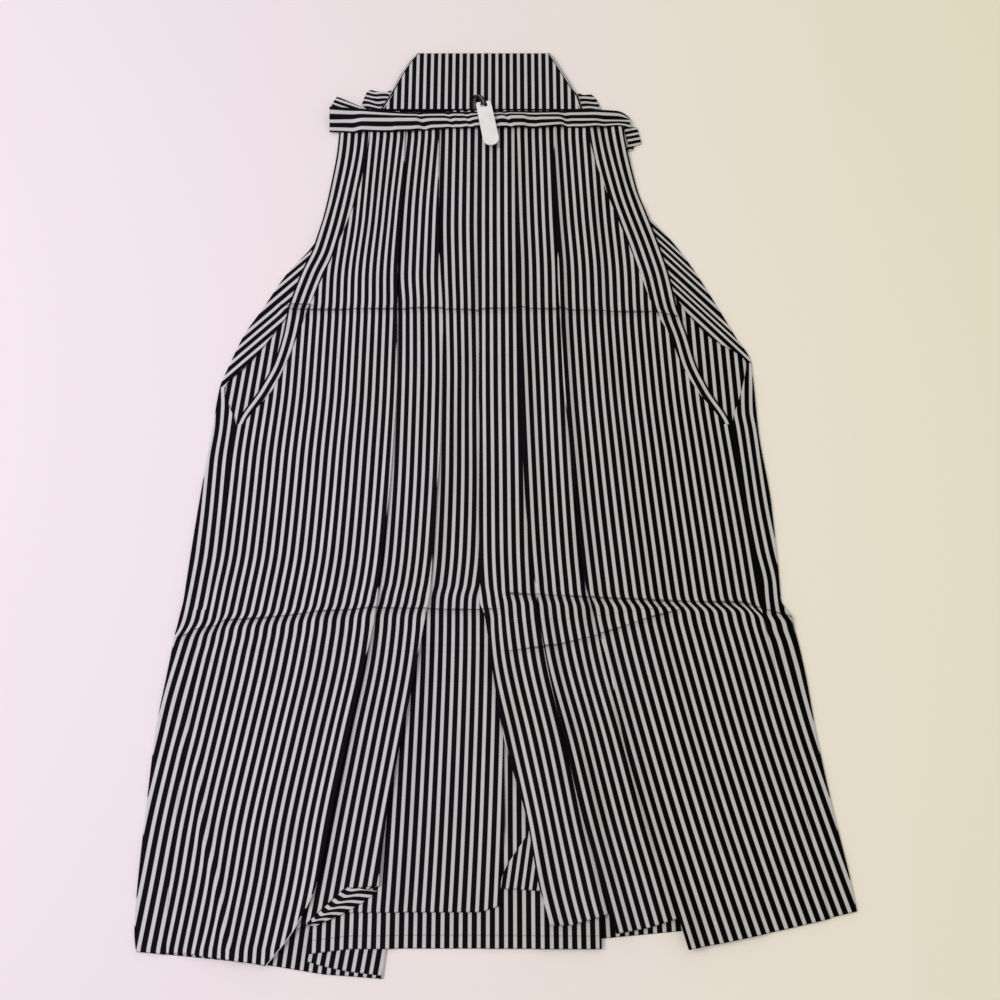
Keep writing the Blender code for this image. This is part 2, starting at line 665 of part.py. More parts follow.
def spatula():
    """A flat tongue with a round tip. A slot near its head leaves the bar that it hangs by."""
    head = -BAR_WIDTH / 2
    half_top, half_tip = SPATULA_WIDTH_TOP / 2, SPATULA_WIDTH_TIP / 2
    round_from = SPATULA_LENGTH + head - half_tip
    outline = [(HEAD_CORNER - half_top, -head), (-half_top, -head - HEAD_CORNER)]
    for i in range(END_STEPS + 1):
        angle = math.pi * i / END_STEPS
        outline.append((-half_tip * math.cos(angle), -round_from - half_tip * math.sin(angle)))
    outline += [(half_top, -head - HEAD_CORNER), (half_top - HEAD_CORNER, -head)]
    half = SPATULA_THICKNESS / 2
    body = prism("spatula", outline, -half, half)
    body.data.materials.append(new_material("spatula"))
    bevel = body.modifiers.new("rounded edges", "BEVEL")
    bevel.width = SPATULA_ROUND * MM
    bevel.segments = 1
    slot_low, slot_high = -BAR_WIDTH / 2 - SLOT_LENGTH, -BAR_WIDTH / 2
    half_slot = SLOT_WIDTH / 2
    slot = [(-half_slot, slot_low), (half_slot, slot_low), (half_slot, slot_high), (-half_slot, slot_high)]
    cutter = prism("spatula_slot", slot, -3 * half, 3 * half)
    cutter.hide_render = True
    cutter.display_type = "WIRE"
    cut = body.modifiers.new("slot", "BOOLEAN")
    cut.operation = "DIFFERENCE"
    cut.object = cutter
    x, along, height = SPATULA_BAR
    for obj in (body, cutter):
        obj.location = ((x - MIDDLE_X) * MM, (along - MIDDLE_ALONG) * MM, height * MM)
        obj.rotation_euler = (0, 0, math.radians(SPATULA_LEAN))


def spatula_loop():
    """A tape round the spatula's bar, and its tail over the board to the seam."""
    ring = []
    for i in range(RING_STEPS + 1):
        angle = math.radians(-30 - 300 * i / RING_STEPS)
        ring.append((LOOP_RADIUS * math.cos(angle), LOOP_RADIUS * math.sin(angle), 0.0))
    path = np.array(ring + [(away, up, side) for away, up, side in TAIL_POINTS])
    steps = np.gradient(path[:, :2], axis=0)
    size = np.linalg.norm(steps, axis=1)
    normal = np.stack([-steps[:, 1] / size, steps[:, 0] / size], axis=1)
    tip, across = spatula_frame()
    up = np.array([0.0, 0.0, 1.0])
    middle = np.array(SPATULA_BAR)
    grids = []
    for side in (0.5, -0.5):
        flat = path[:, :2] + normal * side * TAPE_THICKNESS
        centre = middle - flat[:, :1] * tip + flat[:, 1:] * up + path[:, 2:] * across
        edges = np.array([-TAPE_WIDTH / 2, TAPE_WIDTH / 2])
        grids.append(centre[:, None, :] + edges[None, :, None] * across)
    new_object("spatula_loop", *closed_sheet(*grids))


def main():
    for obj in list(bpy.data.objects):
        bpy.data.objects.remove(obj, do_unlink=True)
    back_leg_right()
    back_leg_left()
    front_leg_right()
    front_leg_left()
    turned_corner()
    back_board()
    front_belt()
    folded_ties()
    spatula()
    spatula_loop()


main()
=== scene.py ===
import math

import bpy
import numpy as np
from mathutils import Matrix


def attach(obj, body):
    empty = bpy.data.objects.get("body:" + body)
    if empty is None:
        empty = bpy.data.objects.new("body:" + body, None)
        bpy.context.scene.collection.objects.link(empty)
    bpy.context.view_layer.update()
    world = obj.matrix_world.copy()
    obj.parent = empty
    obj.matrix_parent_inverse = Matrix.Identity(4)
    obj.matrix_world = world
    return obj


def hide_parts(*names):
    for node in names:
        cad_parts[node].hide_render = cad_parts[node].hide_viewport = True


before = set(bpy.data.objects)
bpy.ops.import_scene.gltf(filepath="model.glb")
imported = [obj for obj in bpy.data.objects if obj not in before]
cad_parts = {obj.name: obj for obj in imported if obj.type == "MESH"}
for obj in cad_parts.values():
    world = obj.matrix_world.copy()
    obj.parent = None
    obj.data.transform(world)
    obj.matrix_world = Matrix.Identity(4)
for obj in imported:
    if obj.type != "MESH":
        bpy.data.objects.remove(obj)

# Men's divided hakama trousers, laid flat on a floor with the front up.
#
# +Z is up, the hem points to -Y and the back board to +Y. Each leg is one cloth wall that runs
# through its pleats. The tables are in millimetres: x across, 0 near the middle of the waist and
# negative on the wearer's right, and "along", the distance up from the hem of the back panel.
# Height is measured from the floor.

bl_info = {
    "name": "Hakama trousers",
    "version": (1, 0, 0),
    "blender": (4, 5, 0),
    "location": "View3D > Sidebar > Hakama",
    "description": "Striped hakama laid flat: pleated legs, belt, back board, ties and spatula",
    "category": "Add Mesh",
}

MM = 0.001
MIDDLE_X = -3.88        # the frame's origin in the tables
MIDDLE_ALONG = 510.0

# Layers of cloth
LAYER = 1.5             # from the middle of one layer to the middle of the next
FIRST_LAYER = 0.5       # middle of the lowest layer above the floor
RAMP_START = 1.5        # a layer carries the next one this far beyond its own edge
RAMP_END = 15.0         # and lets it down by here
FOLD_STEPS = 5
SEAM_GAP = 0.3
SEAM_REACH = 3.0        # a sewn edge dips over this distance
SEAM_DIP = 0.5
SEAM_FADE = 10.0        # and stops dipping over this distance below the side opening
BAND_RISE = 0.9         # the turned band along a side opening stands this proud
BAND_STEP = 0.3

# The columns of a wall's grid are no wider than this.
BAND_COLUMN = 3.0
STEP_COLUMN = 1.0
SIDE_COLUMN = 3.5
SHOWN_COLUMN = 4.5
CENTRE_COLUMN = 5.0
BACK_COLUMN = 6.0
HIDDEN_COLUMN = 9.0
DEEP_COLUMN = 12.0
# Its rows: from one place, up to another, this far apart. They are closer where creases cross.
ROWS = ((-30.0, 280.0, 5.0), (280.0, 365.0, 2.5), (365.0, 535.0, 5.0), (535.0, 675.0, 2.5),
        (675.0, 710.0, 2.0))
TOP_ROWS = 5.0
TOP_GAP = 3.0           # no row lies closer than this below a wall's top

# Lengths along the garment
FRONT_TOP = 944.0
BACK_TOP = 961.0
HEM_ZONE = 120.0        # below this the rows of a panel lean to follow its hem
HEM_PASSES = 6
PLAIN_HEM = 5.0         # a plain hem counts no further up than this
STITCHED_HEM = 1000.0   # and a hem with a line of stitches all the way
SLIT_BOTTOM = 545.0
SLIT_START = 12.0
NO_RIM = -100.0         # below every hem
HIGHLIGHT_RIM_RIGHT = 26.0        # below this the right panel's rolled fold takes a light stripe's colour all round: a painted highlight
MARK = 100.0            # added to the cloth's distances, so that 0 means that a piece has none

PLEAT_DEPTH_HEM = 72.0
PLEAT_DEPTH_TOP = 36.0
LIFT_REACH = 24.0       # a pleat's fold stands off the cloth below it over this distance
LIFT_STRENGTH = ((-30, 0.5), (30, 1.0), (290, 1.0), (345, 0.4), (450, 0.25), (900, 0.1))

SECTIONS = np.array(
    [
        # along side_r turn_r edge_r band_r pl_out_r pl_in_r cen_r cen_l pl_in_l pl_mid_l pl_out_l
        #                                                              band_l edge_l turn_l side_l
        (-30, -346, -324, -324, -318, -240, -121, 0, 0, 54, 118, 192, 319, 326, 326, 352),
        (20, -357, -326, -326, -320, -200, -121, 0, 0, 50, 113, 178, 319, 325, 325, 351),
        (60, -358, -328, -328, -322, -181, -120, 0, 1, 39, 101, 167, 313, 319, 319, 347),
        (120, -357, -327, -327, -321, -170, -115, 5, 31, 28, 84, 148, 304, 310, 310, 337),
        (200, -355, -323, -323, -317, -156, -102, 4, 24, 5, 66, 127, 294, 300, 300, 326),
        (270, -348, -318, -318, -312, -143, -89, 10, 8, -7, 51, 115, 284, 290, 290, 319),
        (325, -341, -312, -312, -306, -133, -80, 17, 8, -15, 42, 101, 275, 281, 281, 309),
        (345, -338, -310, -310, -304, -131, -76, 18, 4, -21, 40, 96, 272, 278, 278, 300),
        (362, -337, -309, -309, -303, -130, -75, 18, 3, -21, 38, 92, 270, 276, 276, 300),
        (450, -331, -303, -303, -297, -123, -71, 22, -4, -22, 29, 84, 263, 269, 269, 298),
        (540, -323, -298, -298, -290, -119, -67, 22, -12, -22, 25, 77, 253, 262, 262, 290),
        (588, -319, -314, -274, -259, -118, -67, 23, -12, -23, 24, 73, 224, 238, 276, 289),
        (620, -309, -288, -260, -246, -119, -67, 23, -12, -23, 24, 72, 208, 225, 283, 288),
        (655, -296, -264, -252, -235, -120, -67, 23, -12, -23, 23, 71, 197, 217, 241, 271),
        (690, -276, -244, -247, -224, -121, -68, 23, -12, -23, 22, 70, 180, 207, 215, 254),
        (735, -251, -229, -235, -208, -121, -71, 24, -12, -24, 22, 69, 166, 199, 190, 231),
        (770, -224, -196, -222, -195, -121, -73, 24, -12, -24, 21, 69, 155, 190, 172, 210),
        (850, -182, -158, -207, -171, -117, -75, 24, -13, -24, 21, 67, 128, 167, 128, 150),
        (915, -162, -138, -200, -162, -118, -76, 25, -14, -25, 21, 67, 111, 155, 101, 120),
        (965, -147, -124, -199, -158, -118, -76, 25, -14, -25, 21, 68, 103, 150, 87, 102),
    ],
    float,
)
COLUMNS = (
    "along", "side_right", "turn_right", "edge_right", "band_right", "pleat_outer_right",
    "pleat_inner_right", "centre_right", "centre_left", "pleat_inner_left", "pleat_middle_left",
    "pleat_outer_left", "band_left", "edge_left", "turn_left", "side_left",
)

BACK_LINES = {
    "back_fold_right": (-115, -12),
    "back_inner_right": (-191, -60),
    "back_fold_left": (44, 12),
    "back_inner_left": (94, 60),
    "back_lap_left": (-8, -8),
}
BACK_LENGTH = 965.0
BACK_INNER_EDGE = ((-30, 99), (120, 99), (200, 70), (270, 32), (325, 10), (965, 8))

HEMS = {
    "front_right_outer": ((-350, -3), (-300, -5), (-247, -12), (-222, -15), (-100, -15)),
    "front_right_under_outer": ((-301, 0), (-229, -15)),
    "front_right_middle": ((-260, 0), (-193, 20), (-154, 55), (-118, 58)),
    "front_right_under_inner": ((-190, 38), (-118, 58)),
    "front_right_inner": ((-200, 40), (-165, 33), (-20, 33), (0, 39)),
    "front_left_turned": ((0, 55), (40, 53), (160, 53)),
    "front_left_under_inner": ((52, 22), (111, 53)),
    "front_left_inner": ((45, 22), (70, 22), (84, 26), (107, 32), (185, 29)),
    "front_left_middle": ((110, 14), (145, 19), (175, 28), (290, 34)),
    "front_left_under_outer": ((184, 0), (250, 32)),
    "front_left_outer": ((184, 0), (221, 6), (282, 18), (352, 33)),
    "back_right_outer": ((-350, -3), (-231, -14), (-172, -23), (-114, -27), (-100, -27)),
    "back_right_under": ((-205, -6), (-175, -15), (-150, -20), (-110, -24.5)),
    "back_right_inner": ((-230, -8), (-190, -5), (-160, -1.5), (-145, 0), (110, 0)),
    "back_left_outer": ((0, 8), (100, 9), (180, 16), (282, 19), (352, 34)),
    "back_left_under": ((44, 8.5), (94, 12)),
    "back_left_inner": ((-20, 12), (110, 12)),
}

# The stripes of each front panel: x of the middle of one light stripe near the panel's fold, and
# the distance from that stripe to the next, at places along the garment.
STRIPES = np.array(
    [
        # along  right outer   right middle  right inner  left inner   left middle  left outer
        (0, -195.0, 8.6, -137.0, 9.0, -86.0, 8.80, 57.0, 9.2, 122.0, 9.40, 188.0, 9.80),
        (60, -184.5, 8.8, -128.0, 9.0, -83.0, 8.80, 41.5, 9.2, 106.5, 9.20, 170.5, 9.72),
        (120, -176.5, 8.95, -119.0, 9.0, -80.5, 8.80, 30.5, 8.7, 90.5, 9.18, 153.5, 9.70),
        (200, -162.5, 9.03, -106.0, 9.0, -78.0, 8.80, 12.5, 9.15, 72.0, 9.00, 133.0, 9.65),
        (280, -147.0, 9.16, -93.0, 8.65, -76.0, 8.75, -5.5, 9.1, 51.5, 9.10, 113.5, 9.75),
        (325, -139.5, 8.92, -86.5, 8.58, -75.2, 8.60, -11.5, 9.0, 44.0, 8.98, 104.0, 9.70),
        (345, -136.5, 8.94, -83.5, 8.45, -72.2, 8.70, -14.0, 8.9, 41.0, 8.85, 98.9, 9.30),
        (400, -132.5, 8.83, -79.5, 8.48, -69.2, 8.85, -16.0, 8.85, 37.0, 8.84, 93.5, 9.26),
        (500, -128.5, 8.85, -76.0, 8.58, -67.1, 8.60, -17.0, 8.85, 33.0, 8.72, 86.0, 9.11),
        (590, -126.5, 8.62, -75.4, 8.59, -67.2, 8.40, -18.2, 8.9, 30.0, 8.82, 80.7, 8.95),
        (690, -126.3, 8.50, -77.8, 8.54, -70.2, 8.65, -19.0, 8.95, 27.4, 8.91, 77.3, 8.91),
        (735, -127.5, 8.35, -79.5, 8.91, -72.7, 8.94, -19.4, 9.0, 27.1, 8.93, 76.8, 8.95),
        (810, -124.6, 7.80, -78.8, 8.75, -75.3, 9.17, -19.9, 9.0, 25.1, 8.89, 72.9, 8.90),
        (920, -116.5, 8.40, -74.0, 8.35, -74.5, 9.05, -20.0, 8.97, 23.0, 8.87, 68.1, 8.89),
    ],
    float,
)
STRIPE_PANELS = (
    "front_right_outer", "front_right_middle", "front_right_inner",
    "front_left_inner", "front_left_middle", "front_left_outer",
)
# The same for the back panels' strips turned to the front: below SIDE_JOIN their stripes run on from
# the front panel's, above it a wide dark band lies at the side seam: a dark stripe widened by painted
# shadow of the seam's gap.
SIDE_STRIPES = np.array(
    [
        # along  right        left
        (0, -371.0, 9.6, 374.0, 9.8),
        (60, -364.0, 9.6, 355.2, 9.7),
        (120, -357.6, 9.6, 337.8, 9.7),
        (200, -345.5, 9.4, 316.4, 9.7),
        (240, -339.5, 9.5, 307.5, 10.2),
        (280, -331.5, 9.4, 299.5, 11.2),
        (300, -327.0, 9.0, 295.5, 11.0),
        (310, -322.5, 8.8, 292.5, 11.2),
        (320, -318.5, 9.2, 290.5, 11.0),
        (330, -316.5, 9.3, 286.3, 9.8),
        (345, -314.5, 9.4, 286.4, 9.2),
        (360, -313.0, 9.3, 286.4, 9.0),
        (400, -309.5, 9.4, 280.5, 9.3),
        (450, -308.3, 9.2, 275.0, 9.0),
        (500, -307.8, 9.2, 271.5, 8.8),
        (540, -305.5, 8.8, 268.5, 9.0),
        (560, -304.8, 9.4, 266.5, 9.0),
        (590, -307.5, 9.0, 268.0, 9.0),
        (620, -312.0, 8.0, 272.0, 8.0),
    ],
    float,
)
SIDE_JOIN = 335.0
SIDE_JOIN_START = 180.0         # from here up to SIDE_JOIN the stripes meet at the right seam
SIDE_JOIN_FADE = 40.0
SIDE_JOIN_REACH = 22.0
# The back's turned band beside a side opening: its stripes rise away from the side at a slope, and
# cross the place given here at these distances along the garment.
SLIT_STRIPES = {
    "right": (-276.0, 1.0, (617, 629, 641, 653, 665, 676, 690, 702, 712, 722, 732)),
    "left": (233.0, -1.08, (632, 645, 658, 671, 683, 692, 700, 713, 723, 732, 741, 750, 759)),
}
BAND_STRIPE_FIRST = 4.3         # the first light stripe of the front's band, from the front edge
TURNED_EDGE = (-8.9, 7.7, 0.15)         # the left front's turned edge: first stripe, pitch and lean
BACK_INNER_STRIPES = (-3.0, 0.1)        # the back's inner parts: first stripe, and added to the pitch
BACK_UNDER_STRIPES = (-130.3, 0.16)     # the right back's pleat: first stripe and lean
# The back panels: where the band beside the side opening starts, the inner edge, how far up the hem
# counts, the cloth's flat size, and the stripes: how far they lie from the fold, what is added to the
# pitch, and what is added to it for each millimetre up the garment.
BACKS = {
    "right": (588.0, "back_inner_edge", STITCHED_HEM, (0.68, 0.99), (-7.5, 0.1, 0.0004)),
    "left": (620.0, "back_lap_left", PLAIN_HEM, (0.52, 0.99), (63.4, 0.4, 0.00015)),
}

# Storage creases over the front: a path of (x, along) points, the height and half width of the soft
# ridge, and the height of the sharp line on it.
CREASES = (
    (((-345, 303), (-333, 306), (-325, 312), (-302, 316), (-293, 322), (-255, 324), (-225, 327),
      (-195, 331), (-130, 334), (0, 333)), 2.4, 9.0, 0.9),
    (((1, 350), (90, 346), (200, 342), (262, 341), (272, 337), (292, 331), (306, 327), (345, 314)),
     2.4, 9.0, 0.9),
    (((1, 288), (60, 295), (100, 305), (160, 325), (200, 336)), 0.8, 7.0, 0.3),
    (((-256, 687), (-222, 687), (180, 684), (215, 676)), 1.8, 6.0, 0.8),
    (((-262, 693), (-222, 694), (-212, 690)), 0.4, 3.0, 0.4),
)
# Beside the main creases the stripes turn over a shorter length: the crease's number, where the
# table of stripes has it, how far below it the turn's middle lies, and the turn's reach.
TURNS = ((0, 311.0, 1.5, 11.0), (1, 342.0, 3.0, 11.0), (3, 686.0, 3.0, 6.0))
CREASE_FADE = 20.0      # a crease fades out over this distance at its ends
CREASE_LINE = 3.0       # half width of the sharp line
BACK_CREASES = 0.3      # the creases' height in the back panels, as a share of the front's
NO_CREASE = 60.0        # distances from a crease count up to this
PAST_END = 30.0         # past its end a crease counts as this much further off

# Soft unevenness of the laid cloth, and a soft fold that runs up the lower right panel as a path of
# (along, x) points.
UNEVEN_HEIGHT = 0.35
FOLD_HEIGHT = 1.8
FOLD_WIDTH = 6.0
FOLD_FADE = 40.0
FOLD_LINE = 0.6         # its painted shade line counts as this far from a crease's
FOLD_PUSH = 0.7         # stripes swing this far to both sides of it
SOFT_FOLD = ((-20, -252), (14, -268), (38, -273), (71, -283), (104, -296), (139, -303), (180, -309))

BELT = (
    # x, along of the lower edge, along of the upper edge, height of the upper edge
    (-211, 931, 962, 11.0),
    (-190, 930, 960, 11.0),
    (-172, 927.8, 958.6, 11.0),
    (-142, 926.4, 956, 10.5),
    (-111, 927, 954, 10.0),
    (-92, 930, 954.4, 10.0),
    (-74, 931, 954.6, 10.0),
    (-55, 932.5, 954.8, 10.0),
    (-37, 932, 954.6, 10.3),
    (0, 929, 955.6, 10.3),
    (49, 930.8, 956, 9.7),
    (80, 933.5, 957.6, 9.0),
    (98, 932.8, 958.2, 8.6),
    (123, 935, 959.2, 8.0),
    (146, 937.5, 958.5, 6.8),
    (155, 936, 955, 5.8),
    (163, 932.5, 946.5, 5.0),
)
BELT_WALL = 1.6
BELT_GAP = 0.8                  # between the belt and the panels under it
BELT_REACH = 12.0               # it rests on the highest layer this near
BELT_TURN = 2.5                 # it starts to turn down this far below its upper edge
BELT_ROLL = 1.6                 # and turns down by this much
BELT_BEHIND = 1.5               # it lies on the panels up to here above their top
BELT_KNOTS = (0.0, 0.5, 0.86, 0.94, 1.0)        # the five places of a section, as shares of it
BELT_COLUMN = 3.0               # from one section to the next
BELT_ROWS = 25
BELT_LEAN = 0.35                # its creases lean by this share
BELT_MIDDLE = 940.0             # about this place along
BELT_JOG = 0.16                 # stripes swing across a crease by this share of its depth
BELT_STRIPES = 3.2              # stripes across the belt
BELT_FIRST = 0.36               # the lowest light stripe, as a share of a stripe's width
# Creases across the belt: x, half width and depth.
BELT_CREASES = ((-96, 3.5, 0.7), (-60, 3.0, 0.9), (-38, 3.0, 0.9), (10, 2.5, 0.9), (82, 5.0, 0.6))

BOARD_EDGES = (
    # along, x of the right-hand edge, x of the left-hand edge
    (961.5, -149.0, 103.0),
    (983.0, -138.4, 98.0),
    (990.0, -135.8, 93.5),
    (1012.0, -126.5, 82.5),
    (1020.0, -122.5, 78.2),
    (1033.0, -115.3, 71.4),
    (1041.5, -109.2, 66.6),
    (1046.5, -105.0, 64.0),
)
BOARD_THICKNESS = 5.0
BOARD_ROUND = 1.2
BOARD_BINDING = 3.6             # width of the cloth turned over the slanting edges
BOARD_BINDING_RISE = 0.5
BOARD_STITCHES_AND_SHADE = 1.3            # a dark line along the board's rounded lower edge: its stitches, deepened by painted shade; half as wide along the upper edge, as painted shade
BOARD_ROW = 3.0
BOARD_COLUMNS = 60
BOARD_STRIPES = (-22.0, 9.05)           # first light stripe and pitch
BINDING_STRIPES = (2.0, 4.2)            # the same in the cloth turned over its edges
BINDING_TAPER = (2.4, 1003.0, 30.0)     # which shifts by this much, from here, over this distance
BOARD_UNEVEN = 0.25             # height of the cloth's soft unevenness over the board

TIES = {
    # outline, height, then the stripes: how they lean, the distance between them and their waves
    "front_tie_right": (
        ((-207, 954), (-162, 954), (-170, 963), (-197, 976.5), (-204, 979.5), (-210, 966)),
        8.0, 0.42, 7.0, 0.4, 9.0),
    "front_tie_left": (
        ((153, 939), (158.5, 912), (156, 908), (158, 904), (163.5, 905), (165, 910.5), (175, 914.5),
         (170, 939)), 2.8, -0.15, 7.4, 0.5, 6.5),
    "back_tie_right": (
        ((-173, 970), (-162, 963), (-148.9, 963), (-133, 993), (-141, 989.5), (-155, 990.5),
         (-163, 993), (-168, 988)), 3.6, 0.10, 6.9, 1.1, 4.2),
    "back_tie_left": (
        ((103.4, 963), (126, 964), (121, 978), (115, 986), (104, 985), (94, 989.5)),
        3.6, -0.02, 7.3, 0.7, 4.6),
}
TIE_LAYER = 2.2
TIE_POINTS = 60                 # round the outline
TIE_STEPS = 8                   # for each layer's height
TIE_INSETS = (0.15, 0.9)        # of the layers' edges and of the grooves between them
TIE_CAPS = (3.0, 6.0, 9.0, 12.0)        # rings of the upper and the lower face, from the edge
TIE_SAG = 0.45                  # the faces sink by up to twice this between the folds

CORNER_ROWS = 41
CORNER_COLUMNS = 19
CORNER_WAVE = 1.2               # the flap stands up to this much off the panel
CORNER_KINK = (2.4, 0.28, 0.2)          # the stripes' kink: size, place and width across the flap
CORNER_STRIPES = (22.0, 0.1, -180.0, 6.3)       # first stripe, lean, the place it leans about, pitch
CORNER = (
    # right-hand and left-hand end of each line across the turned-up corner
    ((-154, 57.0), (-121, 53)),
    ((-159, 49.8), (-134, 43)),
    ((-167, 42.6), (-145, 37)),
    ((-175, 35.5), (-157, 31)),
    ((-183, 28.3), (-169, 26)),
    ((-189, 22.9), (-180, 21)),
)

SPATULA_BAR = (-20.6, 961.5, 18.3)
SPATULA_LEAN = 10.5
TAPE_WIDTH = 6.4
TAPE_THICKNESS = 1.0
TAPE_ROWS = 90
TAPE_COLUMNS = 11
LOOP_RADIUS = 2.2
LOOP_ANGLES = (-30.0, -330.0)   # the loop's start and end round the bar, in degrees
TAIL_POINTS = (
    # away from the spatula, height, towards +X, from the middle of its bar
    (4.0, 1.2, -0.5), (8.0, 0.8, -2.0), (12.5, -1.2, -4.5), (15.4, -4.8, -6.6), (14.9, -8.8, -8.2),
    (11.5, -11.2, -9.4), (6.5, -12.0, -10.2), (1.8, -12.2, -10.6),
)

# The cloth's material, with its painted shade along creases and hems: shades are shares of its colour,
# distances are in millimetres.
# Painted shade along the storage creases and the soft fold: a thin dark line, and a soft shade just below
# it
CREASE_LINE_SHADE = 0.36
CREASE_LINE_WIDTH = 1.1         # at its widest; noise narrows it in places
CREASE_SHADE = (-9.0, -1.0, 0.80)       # a soft shade from here, down to this, just below a crease
HEM_SHADOW = (0.3, 1.4, 0.45)     # painted shadow of the folded hem: full to none between these distances, and its shade
HEM_STITCHES = (12.0, 0.3, 1.0, 0.72)   # how far above the hem, half width with its soft edge, shade
STRIPE_EDGE = 0.03              # half of a stripe's soft edge, as a share of the pitch
WEFT_PITCH = 0.7
WARP_THREADS = 16               # from one light stripe to the next
WOVEN_RELIEF = 0.0001           # metres
LIGHT_TINT_AND_SHADE_DRIFT = (-0.34, 0.20)     # in metres across, the light stripes drift to their left-hand colour: a little yellowed, and darker by painted shade
# the dark stripes drift the same way: painted sheen on the wearer's right gives way to painted shade on the
# left
DARK_SHEEN_DRIFT = (-0.10, 0.30)
TAPE_LINE = (0.16, 0.155, 0.16, 1.0)
TAPE_LINT = (0.03, 0.03, 0.035, 1.0)

# Stage, in metres
FLOOR_HALF = 3.0
FLOOR_LOW = -0.0004
FLOOR_DRIFT = (-0.45, 0.75)
LAMP_PLACE = (-1.6, 0.0, 2.2)
LAMP_SIZE = 1.4
LAMP_COLOUR = (1.0, 0.985, 0.99)
LENS = 36.0             # in millimetres, and the same for the sensor's width


def smooth_curve(places, values):
    """A function through (places, values): cubic pieces whose slopes never overshoot the points."""
    places = np.asarray(places, float)
    values = np.asarray(values, float)
    steps = np.diff(places)
    slopes = np.diff(values) / steps
    total = slopes[1:] + slopes[:-1]
    same_way = slopes[1:] * slopes[:-1] > 0
    inner = np.where(same_way, 2 * slopes[1:] * slopes[:-1] / np.where(total == 0, 1, total), 0)
    tangents = np.concatenate([[slopes[0]], inner, [slopes[-1]]])

    def value(at):
        at = np.clip(np.asarray(at, float), places[0], places[-1])
        i = np.clip(np.searchsorted(places, at, side="right") - 1, 0, len(steps) - 1)
        t = (at - places[i]) / steps[i]
        lower = (1 + 2 * t) * (1 - t) ** 2 * values[i] + t * (1 - t) ** 2 * steps[i] * tangents[i]
        upper = t**2 * (3 - 2 * t) * values[i + 1] + t**2 * (t - 1) * steps[i] * tangents[i + 1]
        return lower + upper

    return value


def straight_curve(points):
    """A function through (place, value) pairs, straight between them."""
    table = np.array(points, float)
    return lambda at: np.interp(at, table[:, 0], table[:, 1])


def soft_step(share):
    """0 below 0, 1 above 1, and 3t^2 - 2t^3 between."""
    share = np.clip(share, 0, 1)
    return share * share * (3 - 2 * share)


def soft_ridge(distance, half_width):
    """A bell curve, 1 at distance 0."""
    return np.exp(-((distance / half_width) ** 2))


def side_of(name):
    """-1 for what is named as the wearer's right, 1 for the left."""
    return -1 if name.endswith("right") else 1


def pleat_depth(along):
    """How far a pleat is folded under: a straight line from the hem's depth to the top's."""
    share = np.clip(along / FRONT_TOP, 0, 1)
    return PLEAT_DEPTH_HEM + (PLEAT_DEPTH_TOP - PLEAT_DEPTH_HEM) * share


def make_lines():
    """Every named line of the garment, as x for a place along it."""
    lines = {
        name: smooth_curve(SECTIONS[:, 0], SECTIONS[:, i])
        for i, name in enumerate(COLUMNS)
        if name != "along"
    }
    for name, (hem, waist) in BACK_LINES.items():
        lines[name] = straight_curve(((-30, hem), (BACK_LENGTH, waist)))
    lines["back_inner_edge"] = straight_curve(BACK_INNER_EDGE)

    def beside(name, outward):
        line, side = lines[name], side_of(name)
        return lambda at: line(at) + side * outward(at)

    for name in COLUMNS:
        if name.startswith("pleat"):
            lines[name + "_hidden"] = beside(name, pleat_depth)
    for hand in ("right", "left"):
        lines["seam_" + hand] = beside("edge_" + hand, lambda at: -SEAM_GAP)
        lines["band_foot_" + hand] = beside("band_" + hand, lambda at: -BAND_STEP)
        lines["band_top_" + hand] = beside("band_" + hand, lambda at: BAND_STEP)
    return lines


LINES = make_lines()

# The layers from the floor up, each between its right-hand and its left-hand line.
LAYERS = {
    "back_right_outer": ("side_right", "back_fold_right"),
    "back_left_outer": ("back_fold_left", "side_left"),
    "tie_end": (146.0, 176.0),
    "back_right_under": ("back_inner_right", "back_fold_right"),
    "back_left_under": ("back_fold_left", "back_inner_left"),
    "back_left_inner": ("back_lap_left", "back_inner_left"),
    "back_right_inner": ("back_inner_right", "back_inner_edge"),
    "turn_right": ("side_right", "turn_right"),
    "turn_left": ("turn_left", "side_left"),
    "front_right_inner": ("pleat_inner_right_hidden", "centre_right"),
    "front_right_under_inner": ("pleat_inner_right_hidden", "pleat_inner_right"),
    "front_right_middle": ("pleat_outer_right_hidden", "pleat_inner_right"),
    "front_right_under_outer": ("pleat_outer_right_hidden", "pleat_outer_right"),
    "front_right_outer": ("seam_right", "pleat_outer_right"),
    "front_left_turned": ("centre_left", "pleat_inner_left_hidden"),
    "front_left_under_inner": ("pleat_inner_left", "pleat_inner_left_hidden"),
    "front_left_inner": ("pleat_inner_left", "pleat_middle_left_hidden"),
    "front_left_under_middle": ("pleat_middle_left", "pleat_middle_left_hidden"),
    "front_left_middle": ("pleat_middle_left", "pleat_outer_left_hidden"),
    "front_left_under_outer": ("pleat_outer_left", "pleat_outer_left_hidden"),
    "front_left_outer": ("pleat_outer_left", "seam_left"),
}
LAYER_NAMES = list(LAYERS)
LAYER_HEIGHTS = {"tie_end": 3.0}        # every other layer is one wall and the gap below it
# Layers that are felt only towards the waist: from the first place on, and in full from the second.
LAYER_STARTS = {"tie_end": (850.0, 905.0), "turn_right": (600.0, 640.0), "turn_left": (600.0, 640.0)}


def line_at(line, along):
    """x of a line, which is a name or one x for the whole length."""
    return LINES[line](along) if isinstance(line, str) else np.full_like(along, line)


def slope_scale(line, along):
    """Turns a distance measured across the garment into one square to the line."""
    lean = (line_at(line, along + 6) - line_at(line, along - 6)) / 12
    return 1 / np.sqrt(1 + lean * lean)


